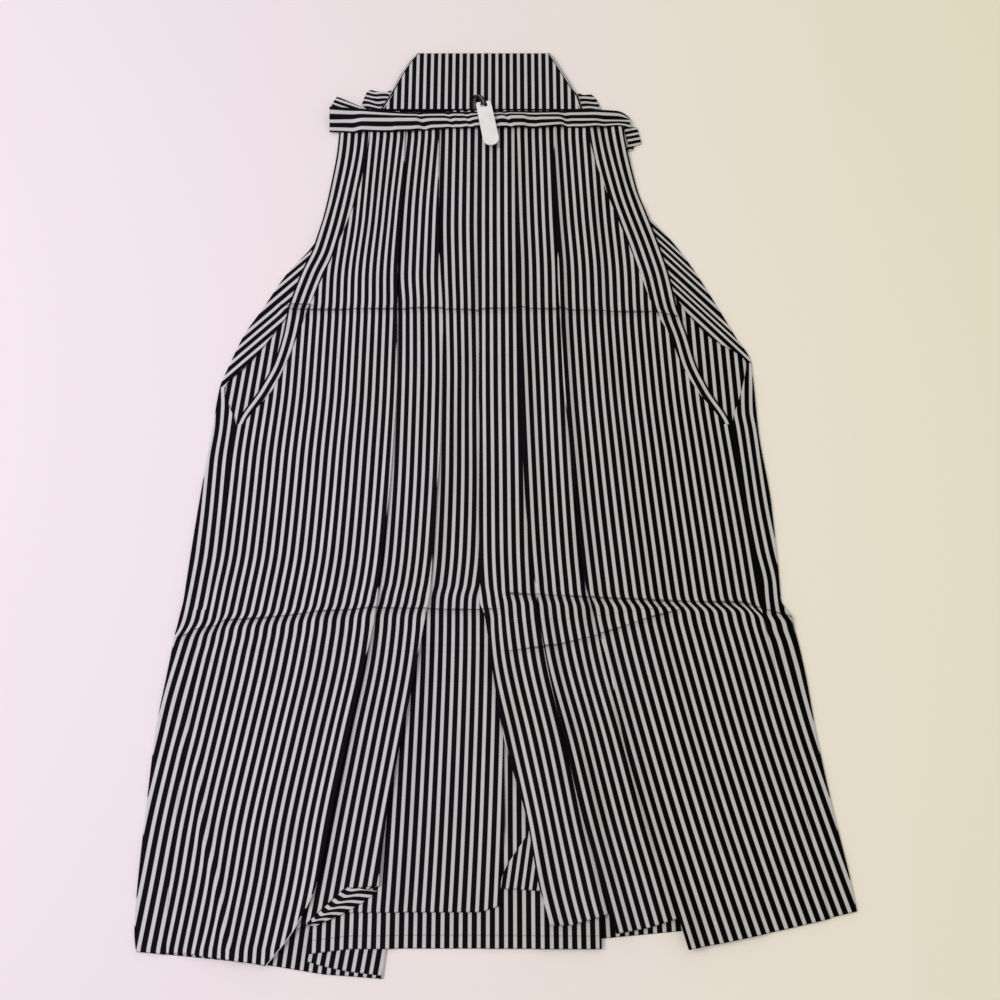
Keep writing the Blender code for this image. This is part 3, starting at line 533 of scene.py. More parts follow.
def carried(name, x, along):
    """What a layer adds to the height: all of it on the layer, and a soft step to 0 past its edges."""
    low, high = LAYERS[name]
    beyond = np.maximum(line_at(low, along) - x, x - line_at(high, along))
    share = 1 - soft_step((beyond - RAMP_START) / (RAMP_END - RAMP_START))
    if name in LAYER_STARTS:
        start, full = LAYER_STARTS[name]
        share = share * np.clip((along - start) / (full - start), 0, 1)
    return LAYER_HEIGHTS.get(name, LAYER) * share


def from_path(points, at, across, fade=CREASE_FADE):
    """Signed distance from a path of points, and 1 along the path falling to 0 past its ends."""
    path = np.array(points, float)
    distance = across - np.interp(at, path[:, 0], path[:, 1])
    ends = np.minimum(at - path[0, 0], path[-1, 0] - at)
    return distance, soft_step(ends / fade + 0.5)


def from_soft_fold(x, along):
    """The same for the soft fold, whose path runs up the garment."""
    return from_path(SOFT_FOLD, along, x, FOLD_FADE)


def creases(x, along):
    """Storage creases: a bell-shaped ridge with a sharper line along its top, fading at its ends."""
    height = np.zeros_like(x)
    for points, soft, half_width, sharp in CREASES:
        distance, presence = from_path(points, x, along)
        line = np.clip(1 - abs(distance) / CREASE_LINE, 0, 1)
        height += (soft * soft_ridge(distance, half_width) + sharp * line) * presence
    return height


def nearest_crease(x, along):
    """Signed distance from the nearest crease. It grows past a crease's ends."""
    nearest = np.full_like(x, NO_CREASE)
    for points, *_ in CREASES:
        distance, presence = from_path(points, x, along)
        distance = distance + np.where(distance < 0, -1, 1) * PAST_END * (1 - presence)
        nearest = np.where(abs(distance) < abs(nearest), distance, nearest)
    distance, presence = from_soft_fold(x, along)
    distance = abs(distance) + FOLD_LINE + PAST_END * (1 - presence)
    return np.where(distance < abs(nearest), distance, nearest)


def turn_place(x, along):
    """Where to read the stripes' table: its turn follows each main crease and is drawn together."""
    place = along
    for crease, in_table, below, reach in TURNS:
        distance, presence = from_path(CREASES[crease][0], x, along)
        near = soft_ridge(distance, 4 * reach) * presence
        from_turn = distance + below
        drawn = from_turn * soft_ridge(from_turn, reach)
        place = place + (in_table - (along - distance)) * near + drawn * presence
    return place


def unevenness(x, along):
    """Three crossing waves of different lengths, nowhere below 0, and the soft fold's ridge."""
    waves = (
        np.sin(x / 29 + 1.5 * np.sin(along / 90))
        + 0.7 * np.sin(x / 15 - along / 120 + 1.3)
        + 0.8 * np.sin(along / 43 + np.sin(x / 60))
    )
    distance, presence = from_soft_fold(x, along)
    ridge = FOLD_HEIGHT * soft_ridge(distance, FOLD_WIDTH) * presence
    return UNEVEN_HEIGHT * (1 + waves / 2.5) / 2 + ridge


def level(name, x, along):
    """Height of the middle of the named layer: the lowest layer's, and every layer below it.

    The back panels and their turned strips only ever lie on each other.
    """
    on_floor = name.startswith(("back", "turn"))
    height = np.full_like(x, FIRST_LAYER)
    for below in LAYER_NAMES[: LAYER_NAMES.index(name)]:
        if below.startswith("back") or not on_floor:
            height = height + carried(below, x, along)
    if name.startswith("back"):
        return height + BACK_CREASES * creases(x, along)
    return height + creases(x, along) + unevenness(x, along)


def stack_top(x, along):
    """Height of the top face of everything laid at (x, along)."""
    height = sum(carried(name, x, along) for name in LAYERS)
    return height - (LAYER - 2 * FIRST_LAYER) + creases(x, along) + unevenness(x, along)


def fold_lift(lift, fold, x, along):
    """A pleat's fold stands off the cloth below it: a parabola that is highest at the fold."""
    near = np.clip(1 - abs(x - line_at(fold, along)) / LIFT_REACH, 0, 1)
    return lift * straight_curve(LIFT_STRENGTH)(along) * near * near


# Stripe coordinates: whole numbers lie on the middles of the light stripes.
def first_and_pitch(table, column):
    """Two curves from a table's columns: a light stripe's place, and the distance to the next."""
    return [smooth_curve(table[:, 0], table[:, i]) for i in (column, column + 1)]


def panel_stripes(panel):
    """Stripes of a front panel: (x - first stripe) / pitch, both varying along the garment."""
    first, pitch = first_and_pitch(STRIPES, 1 + 2 * STRIPE_PANELS.index(panel))

    def stripes(x, along):
        place = turn_place(x, along)
        distance, presence = from_soft_fold(x, along)
        pushed = FOLD_PUSH * presence * (soft_ridge(distance - 3, 5) - soft_ridge(distance + 4, 6))
        return (x - pushed - first(place)) / pitch(place)

    return stripes


def turned_under(stripes, fold):
    """The same stripes carried round a fold: x is reflected at the fold's line."""
    return lambda x, along: stripes(2 * line_at(fold, along) - x, along)


def side_stripes(hand):
    """Stripes of a back panel's strip turned to the front, counted from the side seam.

    On the right they are moved beside the seam until they meet the front panel's. Above SIDE_JOIN
    the count stops half a stripe past the first one, so that a wide dark band is left: a dark stripe
    widened by painted shadow of the seam's gap.
    """
    first, pitch = first_and_pitch(SIDE_STRIPES, 1 if hand == "right" else 3)
    front = panel_stripes("front_right_outer")
    side = side_of(hand)

    def stripes(x, along):
        count = (x - first(along)) / pitch(along)
        if hand == "right":
            seam = line_at("turn_right", along)
            apart = front(seam, along) - (seam - first(along)) / pitch(along)
            apart = apart - np.round(apart)
            joined = soft_step((along - SIDE_JOIN_START) / SIDE_JOIN_FADE) * (along < SIDE_JOIN)
            near = np.clip(1 - abs(x - seam) / SIDE_JOIN_REACH, 0, 1) * joined
            count = count + apart * near
        # Above SIDE_JOIN the cloth by the seam stays dark: painted shadow of the seam's gap
        below = np.clip((SIDE_JOIN - along) / 2, 0, None)
        return side * np.maximum(side * count, -0.5 - below)

    return stripes


def slit_stripes(hand):
    """Stripes of a back panel's turned band beside a side opening, from a table of their places."""
    middle, slope, places = SLIT_STRIPES[hand]
    counts = np.arange(len(places))
    return lambda x, along: np.interp(along - slope * (x - middle), places, counts)


def edge_stripes(line, first, pitch):
    """Stripes parallel to an edge: (distance square to it - first stripe) / pitch."""
    return lambda x, along: (abs(x - line_at(line, along)) * slope_scale(line, along) - first) / pitch


def back_stripes(fold, offset, pitch, widening):
    """Stripes of a back panel, parallel to its fold's line, on a pitch that widens up the garment."""
    return lambda x, along: (x - line_at(fold, along) - offset) / (pitch + widening * along)


def upright_stripes(first, pitch, lean=0.0):
    """Stripes that run straight up the garment, or lean by a share of the length."""
    return lambda x, along: (x - first - lean * along) / pitch


def cell_corners(values):
    """Values of a grid at the four corners of each of its cells, in the order of the cell's face."""
    return np.stack([values[:-1, :-1], values[1:, :-1], values[1:, 1:], values[:-1, 1:]], axis=-1)


class Strip:
    """One flat stretch of a leg's wall between two lines, split into zones at lines between them.

    Each zone has a widest column and its own stripes; slit_stripes take their place above the lower
    end of the side openings. A column of points keeps its share of its zone all along the garment.
    """

    def __init__(self, layer, lines, widths, stripes, slit_stripes=None, hem=None, fold=None,
                 seam=None, band=None, slit_from=SLIT_BOTTOM, hem_reach=PLAIN_HEM, rim=NO_RIM):
        self.layer = layer
        self.hem = np.array(HEMS[hem or layer], float)
        self.lines = lines
        self.widths = widths
        self.stripes = stripes
        self.slit_stripes = slit_stripes or stripes
        self.fold = fold
        self.seam = seam
        self.band = band
        self.slit_from = slit_from
        self.hem_reach = hem_reach
        self.rim = rim
        self.way = 1 if line_at(lines[-1], FRONT_TOP) > line_at(lines[0], FRONT_TOP) else -1

    def columns(self, rows):
        """Each column's zone and its share of that zone."""
        zones, shares = [], []
        for zone, width in enumerate(self.widths):
            reach = abs(line_at(self.lines[zone + 1], rows) - line_at(self.lines[zone], rows)).max()
            count = max(1, math.ceil(reach / width))
            shares += [i / count for i in range(count)]
            zones += [zone] * count
        return np.array(zones + [len(self.widths) - 1]), np.array(shares + [1.0])

    def x_at(self, zones, shares, along):
        """x of each column's points: a straight mix of its zone's two lines."""
        edges = np.stack([line_at(line, along) for line in self.lines])
        pick = np.arange(len(zones))
        low, high = edges[zones, pick], edges[zones + 1, pick]
        return low + (high - low) * shares[:, None]

    def cells(self, zones, rows, x, along):
        """The stripe coordinate at the corners of each cell, from its zone's stripes."""
        cells = []
        in_slit = (rows[:-1] >= self.slit_from)[None, :, None]
        for zone, stripes in enumerate(zip(self.stripes, self.slit_stripes)):
            part = slice(int((zones < zone).sum()), int((zones <= zone).sum()) + 1)
            lower, upper = (cell_corners(count(x[part], along[part])) for count in stripes)
            cells.append(np.where(in_slit, upper, lower))
        return np.concatenate(cells)

    def place(self, rows, lift):
        """Points of the strip's middle, their distance from its hem, and its cells' stripes."""
        zones, shares = self.columns(rows)
        start = np.full((len(shares), 1), rows[0])
        for _ in range(HEM_PASSES):
            start = np.interp(self.x_at(zones, shares, start), self.hem[:, 0], self.hem[:, 1])
        lean = np.clip((rows - rows[0]) / (HEM_ZONE - rows[0]), 0, 1)
        along = np.where(rows < HEM_ZONE, start + (HEM_ZONE - start) * lean, rows)
        x = self.x_at(zones, shares, along)
        z = level(self.layer, x, along)
        if self.fold:
            z = z + fold_lift(lift, self.fold, x, along)
        if self.seam:
            near = np.clip(1 - abs(x - line_at(self.seam, along)) / SEAM_REACH, 0, 1)
            z = z - SEAM_DIP * near * near * np.clip((SLIT_BOTTOM - along) / SEAM_FADE, 0, 1)
        from_hem = np.minimum(along - start, self.hem_reach)
        return x, along, z, from_hem, self.cells(zones, rows, x, along)

    def rise(self, x, along):
        """How far the turned band beside a side opening raises the outer face."""
        if not self.band:
            return np.zeros_like(x)
        past = side_of(self.band) * (x - line_at(self.band, along))
        inside = np.clip(0.5 + past / (2 * BAND_STEP), 0, 1)
        return BAND_RISE * inside * soft_step((along - SLIT_BOTTOM) / SLIT_START)


def hidden_strip(layer, fold, stripes, lines=("", "_hidden"), hem=None):
    """The stretch folded under at a pleat, where the stripes run on round the fold."""
    return Strip(layer, tuple(fold + line for line in lines), (HIDDEN_COLUMN,),
                 (turned_under(stripes, fold),), hem=hem, fold=fold)


def leg_wall(strips, rows, wall, lift):
    """Outer and inner face of a wall whose path runs strip by strip and round the fold after each.

    Half the wall's thickness lies to each side of the path, square to it: up or down on the strips,
    turning through a half circle at the folds.
    """
    half = wall / 2
    outer, inner, cells = [], [], []
    placed = [strip.place(rows, lift) for strip in strips]
    for i, (strip, (x, along, z, from_hem, strip_cells)) in enumerate(zip(strips, placed)):
        raised = strip.rise(x, along)
        outer.append(np.stack([x, along, z + half * strip.way + raised, from_hem], axis=-1))
        inner.append(np.stack([x, along, z - half * strip.way, from_hem], axis=-1))
        cells.append(strip_cells)
        if i + 1 == len(strips):
            break
        next_z = placed[i + 1][2][0]
        radius = abs(z[-1] - next_z) / 2
        middle = (z[-1] + next_z) / 2
        down = 1 if z[-1].mean() > next_z.mean() else -1
        angles = down * math.pi * (0.5 - np.arange(1, FOLD_STEPS + 1) / (FOLD_STEPS + 1))[:, None]
        fold_along, fold_hem = (np.repeat(part[-1][None], FOLD_STEPS, axis=0) for part in (along, from_hem))
        for faces, side in ((outer, half), (inner, -half)):
            reach = radius + side * down * strip.way
            fold_x = x[-1] + strip.way * reach * np.cos(angles)
            fold_z = middle + reach * np.sin(angles)
            faces.append(np.stack([fold_x, fold_along, fold_z, fold_hem], axis=-1))
        edge = strip_cells[-1][:, [1, 1, 2, 2]]
        # Below the rim the fold takes the nearest light stripe's colour: a painted highlight along the
        # rolled edge
        edge = np.where((along[-1][:-1] < strip.rim)[:, None], np.round(edge[:, :1]), edge)
        cells.append(np.repeat(edge[None], FOLD_STEPS + 1, axis=0))
    return np.concatenate(outer), np.concatenate(inner), np.concatenate(cells)


def cloth_rows(top):
    """Places along a leg from its hem to its top."""
    stretches = (*ROWS, (ROWS[-1][1], top - TOP_GAP, TOP_ROWS))
    return np.append(np.concatenate([np.arange(*stretch) for stretch in stretches]), top)


def in_world(points):
    """Table coordinates in millimetres to the frame's metres."""
    return (np.asarray(points, float) - (MIDDLE_X, MIDDLE_ALONG, 0.0)) * MM


def new_piece(name, points, faces, weave, material, replaces, slot="striped_cloth"):
    """A mesh object from points, faces and a (stripe, along) pair for each of the faces' corners."""
    mesh = bpy.data.meshes.new(name)
    mesh.from_pydata(in_world(points[:, :3]), [], faces.tolist())
    layer = mesh.uv_layers.new(name="weave")
    layer.data.foreach_set("uv", np.asarray(weave, np.float32).ravel())
    mesh.shade_smooth()
    mesh.set_sharp_from_angle(angle=math.radians(50))
    mesh.materials.append(material)
    obj = bpy.data.objects.new(name, mesh)
    bpy.context.scene.collection.objects.link(obj)
    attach(obj, "garment")
    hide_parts(*replaces)
    return obj


def add_number(obj, name, values):
    """A number for each of the mesh's points, which the cloth's material reads."""
    attribute = obj.data.attributes.new(name, "FLOAT", "POINT")
    attribute.data.foreach_set("value", np.asarray(values, np.float32))


def closed_sheet(outer, inner, cells):
    """Points, faces and weave coordinates of a thin solid between two grids (columns, rows, 3).

    cells holds the stripe coordinate at the corners of each of the grid's cells. The outer grid's
    faces keep their order, the inner grid's are turned over, and four rims join the two.
    """
    columns, rows = outer.shape[:2]
    points = np.concatenate([outer, inner]).reshape(-1, outer.shape[-1])
    index = np.arange(columns * rows).reshape(columns, rows)
    along = cell_corners(outer[..., 1])
    upper = cell_corners(index).reshape(-1, 4)
    pairs = np.stack([cells, along], axis=-1)
    flat = pairs.reshape(-1, 4, 2)
    back = columns * rows
    faces = [upper, upper[:, ::-1] + back]
    weave = [flat, flat[:, ::-1]]
    rims = (
        (index[:-1, 0], index[1:, 0], pairs[:, 0, 0], pairs[:, 0, 1]),
        (index[1:, -1], index[:-1, -1], pairs[:, -1, 2], pairs[:, -1, 3]),
        (index[0, 1:], index[0, :-1], pairs[0, :, 3], pairs[0, :, 0]),
        (index[-1, :-1], index[-1, 1:], pairs[-1, :, 1], pairs[-1, :, 2]),
    )
    for first, second, first_weave, second_weave in rims:
        faces.append(np.stack([first, first + back, second + back, second], axis=-1))
        weave.append(np.stack([first_weave, first_weave, second_weave, second_weave], axis=1))
    return points, np.concatenate(faces), np.concatenate(weave)


def cut_area(obj):
    """Half the surface of a closed sheet, in square metres: the cloth's own area."""
    mesh = obj.data
    areas = np.empty(len(mesh.polygons))
    mesh.polygons.foreach_get("area", areas)
    return areas.sum() / 2


def cloth_leg(name, strips, top, replaces, cloth, material):
    """A leg's wall as a closed sheet, with its distances from the creases and from its hem."""
    walls = leg_wall(strips, cloth_rows(top), cloth.wall / MM, cloth.fold_lift / MM)
    points, faces, weave = closed_sheet(*walls)
    obj = new_piece(name, points, faces, weave, material, replaces)
    # From these distances the material paints shade along the creases and the soft fold
    add_number(obj, "crease", MARK + nearest_crease(points[:, 0], points[:, 1]))
    # From its distance to the hem the material paints a shadow along the hem, and the line of its stitches
    add_number(obj, "hem", MARK + points[:, 3])
    round(cut_area(obj), 3)


def front_leg_right(cloth, material):
    """From the side seam to the centre front: three panels, with two pleats folded under them."""
    outer, middle, inner = (panel_stripes("front_right_" + name) for name in ("outer", "middle", "inner"))
    band = edge_stripes("edge_right", BAND_STRIPE_FIRST, cloth.pitch / MM)
    strips = (
        Strip("front_right_outer",
              ("seam_right", "band_top_right", "band_foot_right", "pleat_outer_right"),
              (BAND_COLUMN, STEP_COLUMN, SHOWN_COLUMN), (outer, outer, outer), (band, band, outer),
              fold="pleat_outer_right", seam="seam_right", band="band_right", rim=HIGHLIGHT_RIM_RIGHT),
        hidden_strip("front_right_under_outer", "pleat_outer_right", outer),
        Strip("front_right_middle",
              ("pleat_outer_right_hidden", "pleat_outer_right", "pleat_inner_right"),
              (HIDDEN_COLUMN, SHOWN_COLUMN), (middle, middle), fold="pleat_inner_right"),
        hidden_strip("front_right_under_inner", "pleat_inner_right", middle),
        Strip("front_right_inner", ("pleat_inner_right_hidden", "pleat_inner_right", "centre_right"),
              (HIDDEN_COLUMN, SHOWN_COLUMN), (inner, inner)),
    )
    cloth_leg("right_leg_front", strips, FRONT_TOP, ("front_leg_right",),
              cloth, material)


def front_leg_left(cloth, material):
    """From the turned centre edge to the side seam: three panels over three folded pleats."""
    inner, middle, outer = (panel_stripes("front_left_" + name) for name in ("inner", "middle", "outer"))
    band = edge_stripes("edge_left", BAND_STRIPE_FIRST, cloth.pitch / MM)
    back = ("_hidden", "")
    strips = (
        Strip("front_left_turned", ("centre_left", "pleat_inner_left_hidden"), (CENTRE_COLUMN,),
              (upright_stripes(*TURNED_EDGE),)),
        hidden_strip("front_left_under_inner", "pleat_inner_left", inner, back),
        Strip("front_left_inner", ("pleat_inner_left", "pleat_middle_left", "pleat_middle_left_hidden"),
              (SHOWN_COLUMN, HIDDEN_COLUMN), (inner, inner), fold="pleat_inner_left"),
        hidden_strip("front_left_under_middle", "pleat_middle_left", middle, back, "front_left_middle"),
        Strip("front_left_middle", ("pleat_middle_left", "pleat_outer_left", "pleat_outer_left_hidden"),
              (SHOWN_COLUMN, HIDDEN_COLUMN), (middle, middle), fold="pleat_middle_left"),
        hidden_strip("front_left_under_outer", "pleat_outer_left", outer, back),
        Strip("front_left_outer", ("pleat_outer_left", "band_foot_left", "band_top_left", "seam_left"),
              (SHOWN_COLUMN, STEP_COLUMN, BAND_COLUMN), (outer, outer, outer), (outer, band, band),
              fold="pleat_outer_left", seam="seam_left", band="band_left"),
    )
    cloth_leg("left_leg_front", strips, FRONT_TOP, ("front_leg_left",),
              cloth, material)


def back_legs(cloth, material):
    """Each leg's back panel: its strip turned to the front, the outer part, a pleat, the inner part."""
    pitch = cloth.pitch / MM
    inner_first, inner_wider = BACK_INNER_STRIPES
    inner = upright_stripes(inner_first, pitch + inner_wider)
    for hand, (slit_from, inner_edge, hem_reach, flat, (offset, wider, widening)) in BACKS.items():
        side, turn, fold, pleat = f"side_{hand}", f"turn_{hand}", f"back_fold_{hand}", f"back_inner_{hand}"
        outer = back_stripes(fold, offset, pitch + wider, widening)
        if hand == "right":
            first, lean = BACK_UNDER_STRIPES
            under = upright_stripes(first, pitch, lean)
        else:
            under = turned_under(outer, fold)
        strips = (
            Strip(turn, (turn, side), (SIDE_COLUMN,), (side_stripes(hand),), (slit_stripes(hand),),
                  hem=f"back_{hand}_outer", seam=turn, slit_from=slit_from),
            Strip(f"back_{hand}_outer", (side, fold), (BACK_COLUMN,), (outer,)),
            Strip(f"back_{hand}_under", (fold, pleat), (DEEP_COLUMN,), (under,)),
            Strip(f"back_{hand}_inner", (pleat, inner_edge), (BACK_COLUMN,), (inner,),
                  hem_reach=hem_reach),
        )
        cloth_leg(f"{hand}_leg_back", strips, BACK_TOP, (f"back_leg_{hand}",),
                  cloth, material)


def turned_corner(cloth, material):
    """Straight lines between two curves, the corner's fold and its free edge, lifted in soft waves."""
    edges = np.array(CORNER, float)
    at = np.linspace(0, len(edges) - 1, CORNER_ROWS)
    fold, free = (
        np.stack([smooth_curve(np.arange(len(edges)), edges[:, end, i])(at) for i in (0, 1)], axis=-1)
        for end in (0, 1)
    )
    share = np.linspace(0, 1, CORNER_COLUMNS)
    plan = fold[:, None] * (1 - share[:, None]) + free[:, None] * share[:, None]
    x, along = plan[..., 0], plan[..., 1]
    wave = np.sin(math.pi * share) ** 2 * (0.6 + 0.6 * np.cos(1.1 * math.pi * at[:, None] + 3 * share))
    z = level("front_right_middle", x, along) - LAYER * share + CORNER_WAVE * wave
    half = cloth.wall / MM / 2
    outer, inner = (np.stack([x, along, z + side], axis=-1) for side in (half, -half))
    kink, kink_place, kink_width = CORNER_KINK
    first, lean, middle, pitch = CORNER_STRIPES
    kinked = kink * soft_ridge(share - kink_place, kink_width)
    stripes = (along - first + lean * (x - middle) + kinked) / pitch
    obj = new_piece("turned_up_corner", *closed_sheet(outer, inner, cell_corners(stripes)), material,
                    replaces=("turned_corner",))
    round(cut_area(obj), 5)


def above_stack(xs, along):
    """Height of the middle of the belt where it rests on the highest of the layers near it."""
    reach = np.arange(-BELT_REACH, BELT_REACH + 1, BELT_REACH / 4)
    highest = np.max([stack_top(xs + offset, along) for offset in reach], axis=0)
    return highest + BELT_GAP + BELT_WALL / 2


def front_belt(_cloth, material):
    """A profile carried across the waist: up over the panels' top edges, then rolled down behind them.

    Each section is straight between five places: lower edge, panels' top, start of the roll, roll and
    upper edge. Small creases run across it as bell-shaped troughs.
    """
    table = np.array(BELT, float)
    xs = np.arange(table[0, 0], table[-1, 0] + 0.1, BELT_COLUMN)
    low, high, top = (smooth_curve(table[:, 0], table[:, i])(xs) for i in (1, 2, 3))
    first = above_stack(xs, low)
    behind = np.full_like(xs, FRONT_TOP + BELT_BEHIND)
    over = np.maximum(above_stack(xs, behind),
                      first + (top - first) * (behind - low) / (high - BELT_TURN - low))
    across = np.linspace(0, 1, BELT_ROWS)
    section = (
        (low, behind, high - BELT_TURN, high - BELT_TURN / 4, high),
        (first, over, top, top - BELT_ROLL / 3, top - BELT_ROLL),
    )
    along, height = (
        np.stack([np.interp(across, BELT_KNOTS, places) for places in zip(*rows)]) for rows in section
    )
    jog = np.zeros_like(along)
    for at, half_width, depth in BELT_CREASES:
        trough = soft_ridge(xs[:, None] + BELT_LEAN * (along - BELT_MIDDLE) - at, half_width)
        height = height - depth * trough * np.sin(math.pi * np.clip(across, 0.05, 1)) ** 0.5
        jog += BELT_JOG * depth * trough
    d_along, d_height = np.gradient(along, axis=1), np.gradient(height, axis=1)
    size = np.hypot(d_along, d_height)
    normal = np.stack([np.zeros_like(size), -d_height / size, d_along / size], axis=-1)
    middle = np.stack([np.broadcast_to(xs[:, None], along.shape), along, height], axis=-1)
    outward = BELT_WALL / 2 * normal
    cells = cell_corners(across * BELT_STRIPES - BELT_FIRST + jog)
    obj = new_piece("belt_cloth", *closed_sheet(middle + outward, middle - outward, cells),
                    material, replaces=("front_belt",))


def back_board(_cloth, material):
    """A flat board under cloth: straight rows between its slanting edges, quarter-round at every edge.

    The strips beside the slanting edges are the cloth turned over them, and stand a little proud.
    """
    table = np.array(BOARD_EDGES, float)
    bottom, top = table[0, 0], table[-1, 0]
    rounded = BOARD_ROUND * (1 - np.cos(np.linspace(0, math.pi / 2, 5)))
    rows = np.concatenate([bottom + rounded, np.arange(bottom + BOARD_ROW, top - 2, BOARD_ROW),
                           top - rounded[::-1]])
    right, left = (np.interp(rows, table[:, 0], table[:, i]) for i in (1, 2))
    binding_edge = (BOARD_BINDING - 0.25, BOARD_BINDING + 0.25)
    from_edge = np.concatenate([rounded, [1.6, 2.6], binding_edge])[:, None]
    share = np.linspace(0, 1, BOARD_COLUMNS)[1:-1, None]
    inner_right, inner_left = right + from_edge[-1], left - from_edge[-1]
    x = np.concatenate([right + from_edge, inner_right + (inner_left - inner_right) * share,
                        left - from_edge[::-1]])
    along = np.broadcast_to(rows, x.shape)
    side = np.minimum(x - right, left - x)
    edge = np.minimum.reduce([side, along - bottom, top - along])
    curve = BOARD_ROUND * (1 - np.sqrt(1 - (1 - np.clip(edge / BOARD_ROUND, 0, 1)) ** 2))
    binding = np.clip((BOARD_BINDING - side) / 0.5 + 0.5, 0, 1) * np.clip(side / 2, 0, 1)
    soft = BOARD_UNEVEN * np.sin(x / 23) * np.sin(along / 19 + x / 40) * np.clip(edge / 6, 0, 1)
    upper = np.stack([x, along, BOARD_THICKNESS - curve + BOARD_BINDING_RISE * binding + soft], -1)
    lower = np.stack([x, along, curve], axis=-1)
    first, pitch = BOARD_STRIPES
    panel = cell_corners((x - first) / pitch)
    first, pitch = BINDING_STRIPES
    taper, taper_from, taper_over = BINDING_TAPER
    tapered = taper * soft_step((taper_from - along) / taper_over)
    bound = cell_corners((side - first + tapered) / pitch)
    is_bound = cell_corners(side).mean(axis=-1, keepdims=True) < BOARD_BINDING
    cells = np.where(is_bound, bound, panel)
    from_ends = cell_corners(np.minimum(along - bottom, 2 * (top - along))).mean(axis=-1, keepdims=True)
    # A dark stripe's colour along the board's rounded lower edge, for its stitches and painted shade, and
    # along its upper edge, for painted shade
    cells = np.where(from_ends < BOARD_STITCHES_AND_SHADE, 0.5, cells)
    obj = new_piece("board_cloth", *closed_sheet(upper, lower, cells),
                    material, replaces=("back_board",))
    round(cut_area(obj), 4)


def path_lengths(points):
    """Length along a path of points, up to each of them."""
    return np.concatenate([[0], np.cumsum(np.linalg.norm(np.diff(points, axis=0), axis=1))])


def folded_ties(_cloth, material):
    """Folded ends of the ties: rings round an outline, in and out by a wave for each folded layer."""
    for name, (outline, height, lean, pitch, wave_height, wave_length) in TIES.items():
        corners = np.array(outline, float)
        centre = corners.mean(axis=0)
        closed = np.vstack([corners, corners[:1]])
        length = path_lengths(closed)
        at = np.linspace(0, length[-1], TIE_POINTS + 1)[:-1]
        ring = np.stack([np.interp(at, length, closed[:, i]) for i in (0, 1)], axis=-1)
        ring = (np.roll(ring, 1, axis=0) + 2 * ring + np.roll(ring, -1, axis=0)) / 4
        layers = max(1, round(height / TIE_LAYER))
        share = np.linspace(0, 1, TIE_STEPS * layers + 1)
        least, groove = TIE_INSETS
        inset = least + groove * abs(np.cos(math.pi * layers * share)) ** 3
        insets = np.concatenate([TIE_CAPS[::-1], inset, TIE_CAPS])
        shares = np.pad(share, len(TIE_CAPS), "edge")
        reach = np.linalg.norm(ring - centre, axis=1)[:, None]
        scale = np.clip(1 - insets / reach, 0.03, 1)
        plan = centre + (ring - centre)[:, None] * scale[..., None]
        x, along = plan[..., 0], plan[..., 1]
        wave = np.sin(along / 2.6 + x / 9) * np.sin(x / 7 + 1.0)
        z = height * shares - TIE_SAG * shares * (1 + wave) * np.clip(insets / 3, 0.3, 1)
        stripes = (along + lean * x + wave_height * np.sin(x / wave_length + along / 14)) / pitch
        obj = tie_piece(name, np.stack([x, along, z], axis=-1), stripes, material)


def tie_piece(name, points, stripes, material):
    """Rings of points joined into a closed form, with a fan of triangles at each end."""
    count, rings = points.shape[:2]
    index = np.arange(count * rings).reshape(count, rings)
    turned = np.roll(index, -1, axis=0)
    sides = np.stack([index[:, :-1], turned[:, :-1], turned[:, 1:], index[:, 1:]], -1).reshape(-1, 4)
    ends = np.stack([points[:, 0].mean(axis=0), points[:, -1].mean(axis=0)])
    first, last = (np.full(count, count * rings + end) for end in (0, 1))
    lower = np.stack([turned[:, 0], index[:, 0], first], axis=-1)
    upper = np.stack([index[:, -1], turned[:, -1], last], axis=-1)
    all_stripes = np.concatenate([stripes.ravel(), [stripes[:, 0].mean(), stripes[:, -1].mean()]])
    all_points = np.concatenate([points.reshape(-1, 3), ends])
    faces = sides.tolist() + lower.tolist() + upper.tolist()
    corners = np.concatenate([sides.ravel(), lower.ravel(), upper.ravel()])
    weave = np.stack([all_stripes[corners], all_points[corners, 1]], axis=-1)
    return new_piece(name.replace("tie", "tie_end"), all_points, np.array(faces, object), weave,
                     material, replaces=(name,))


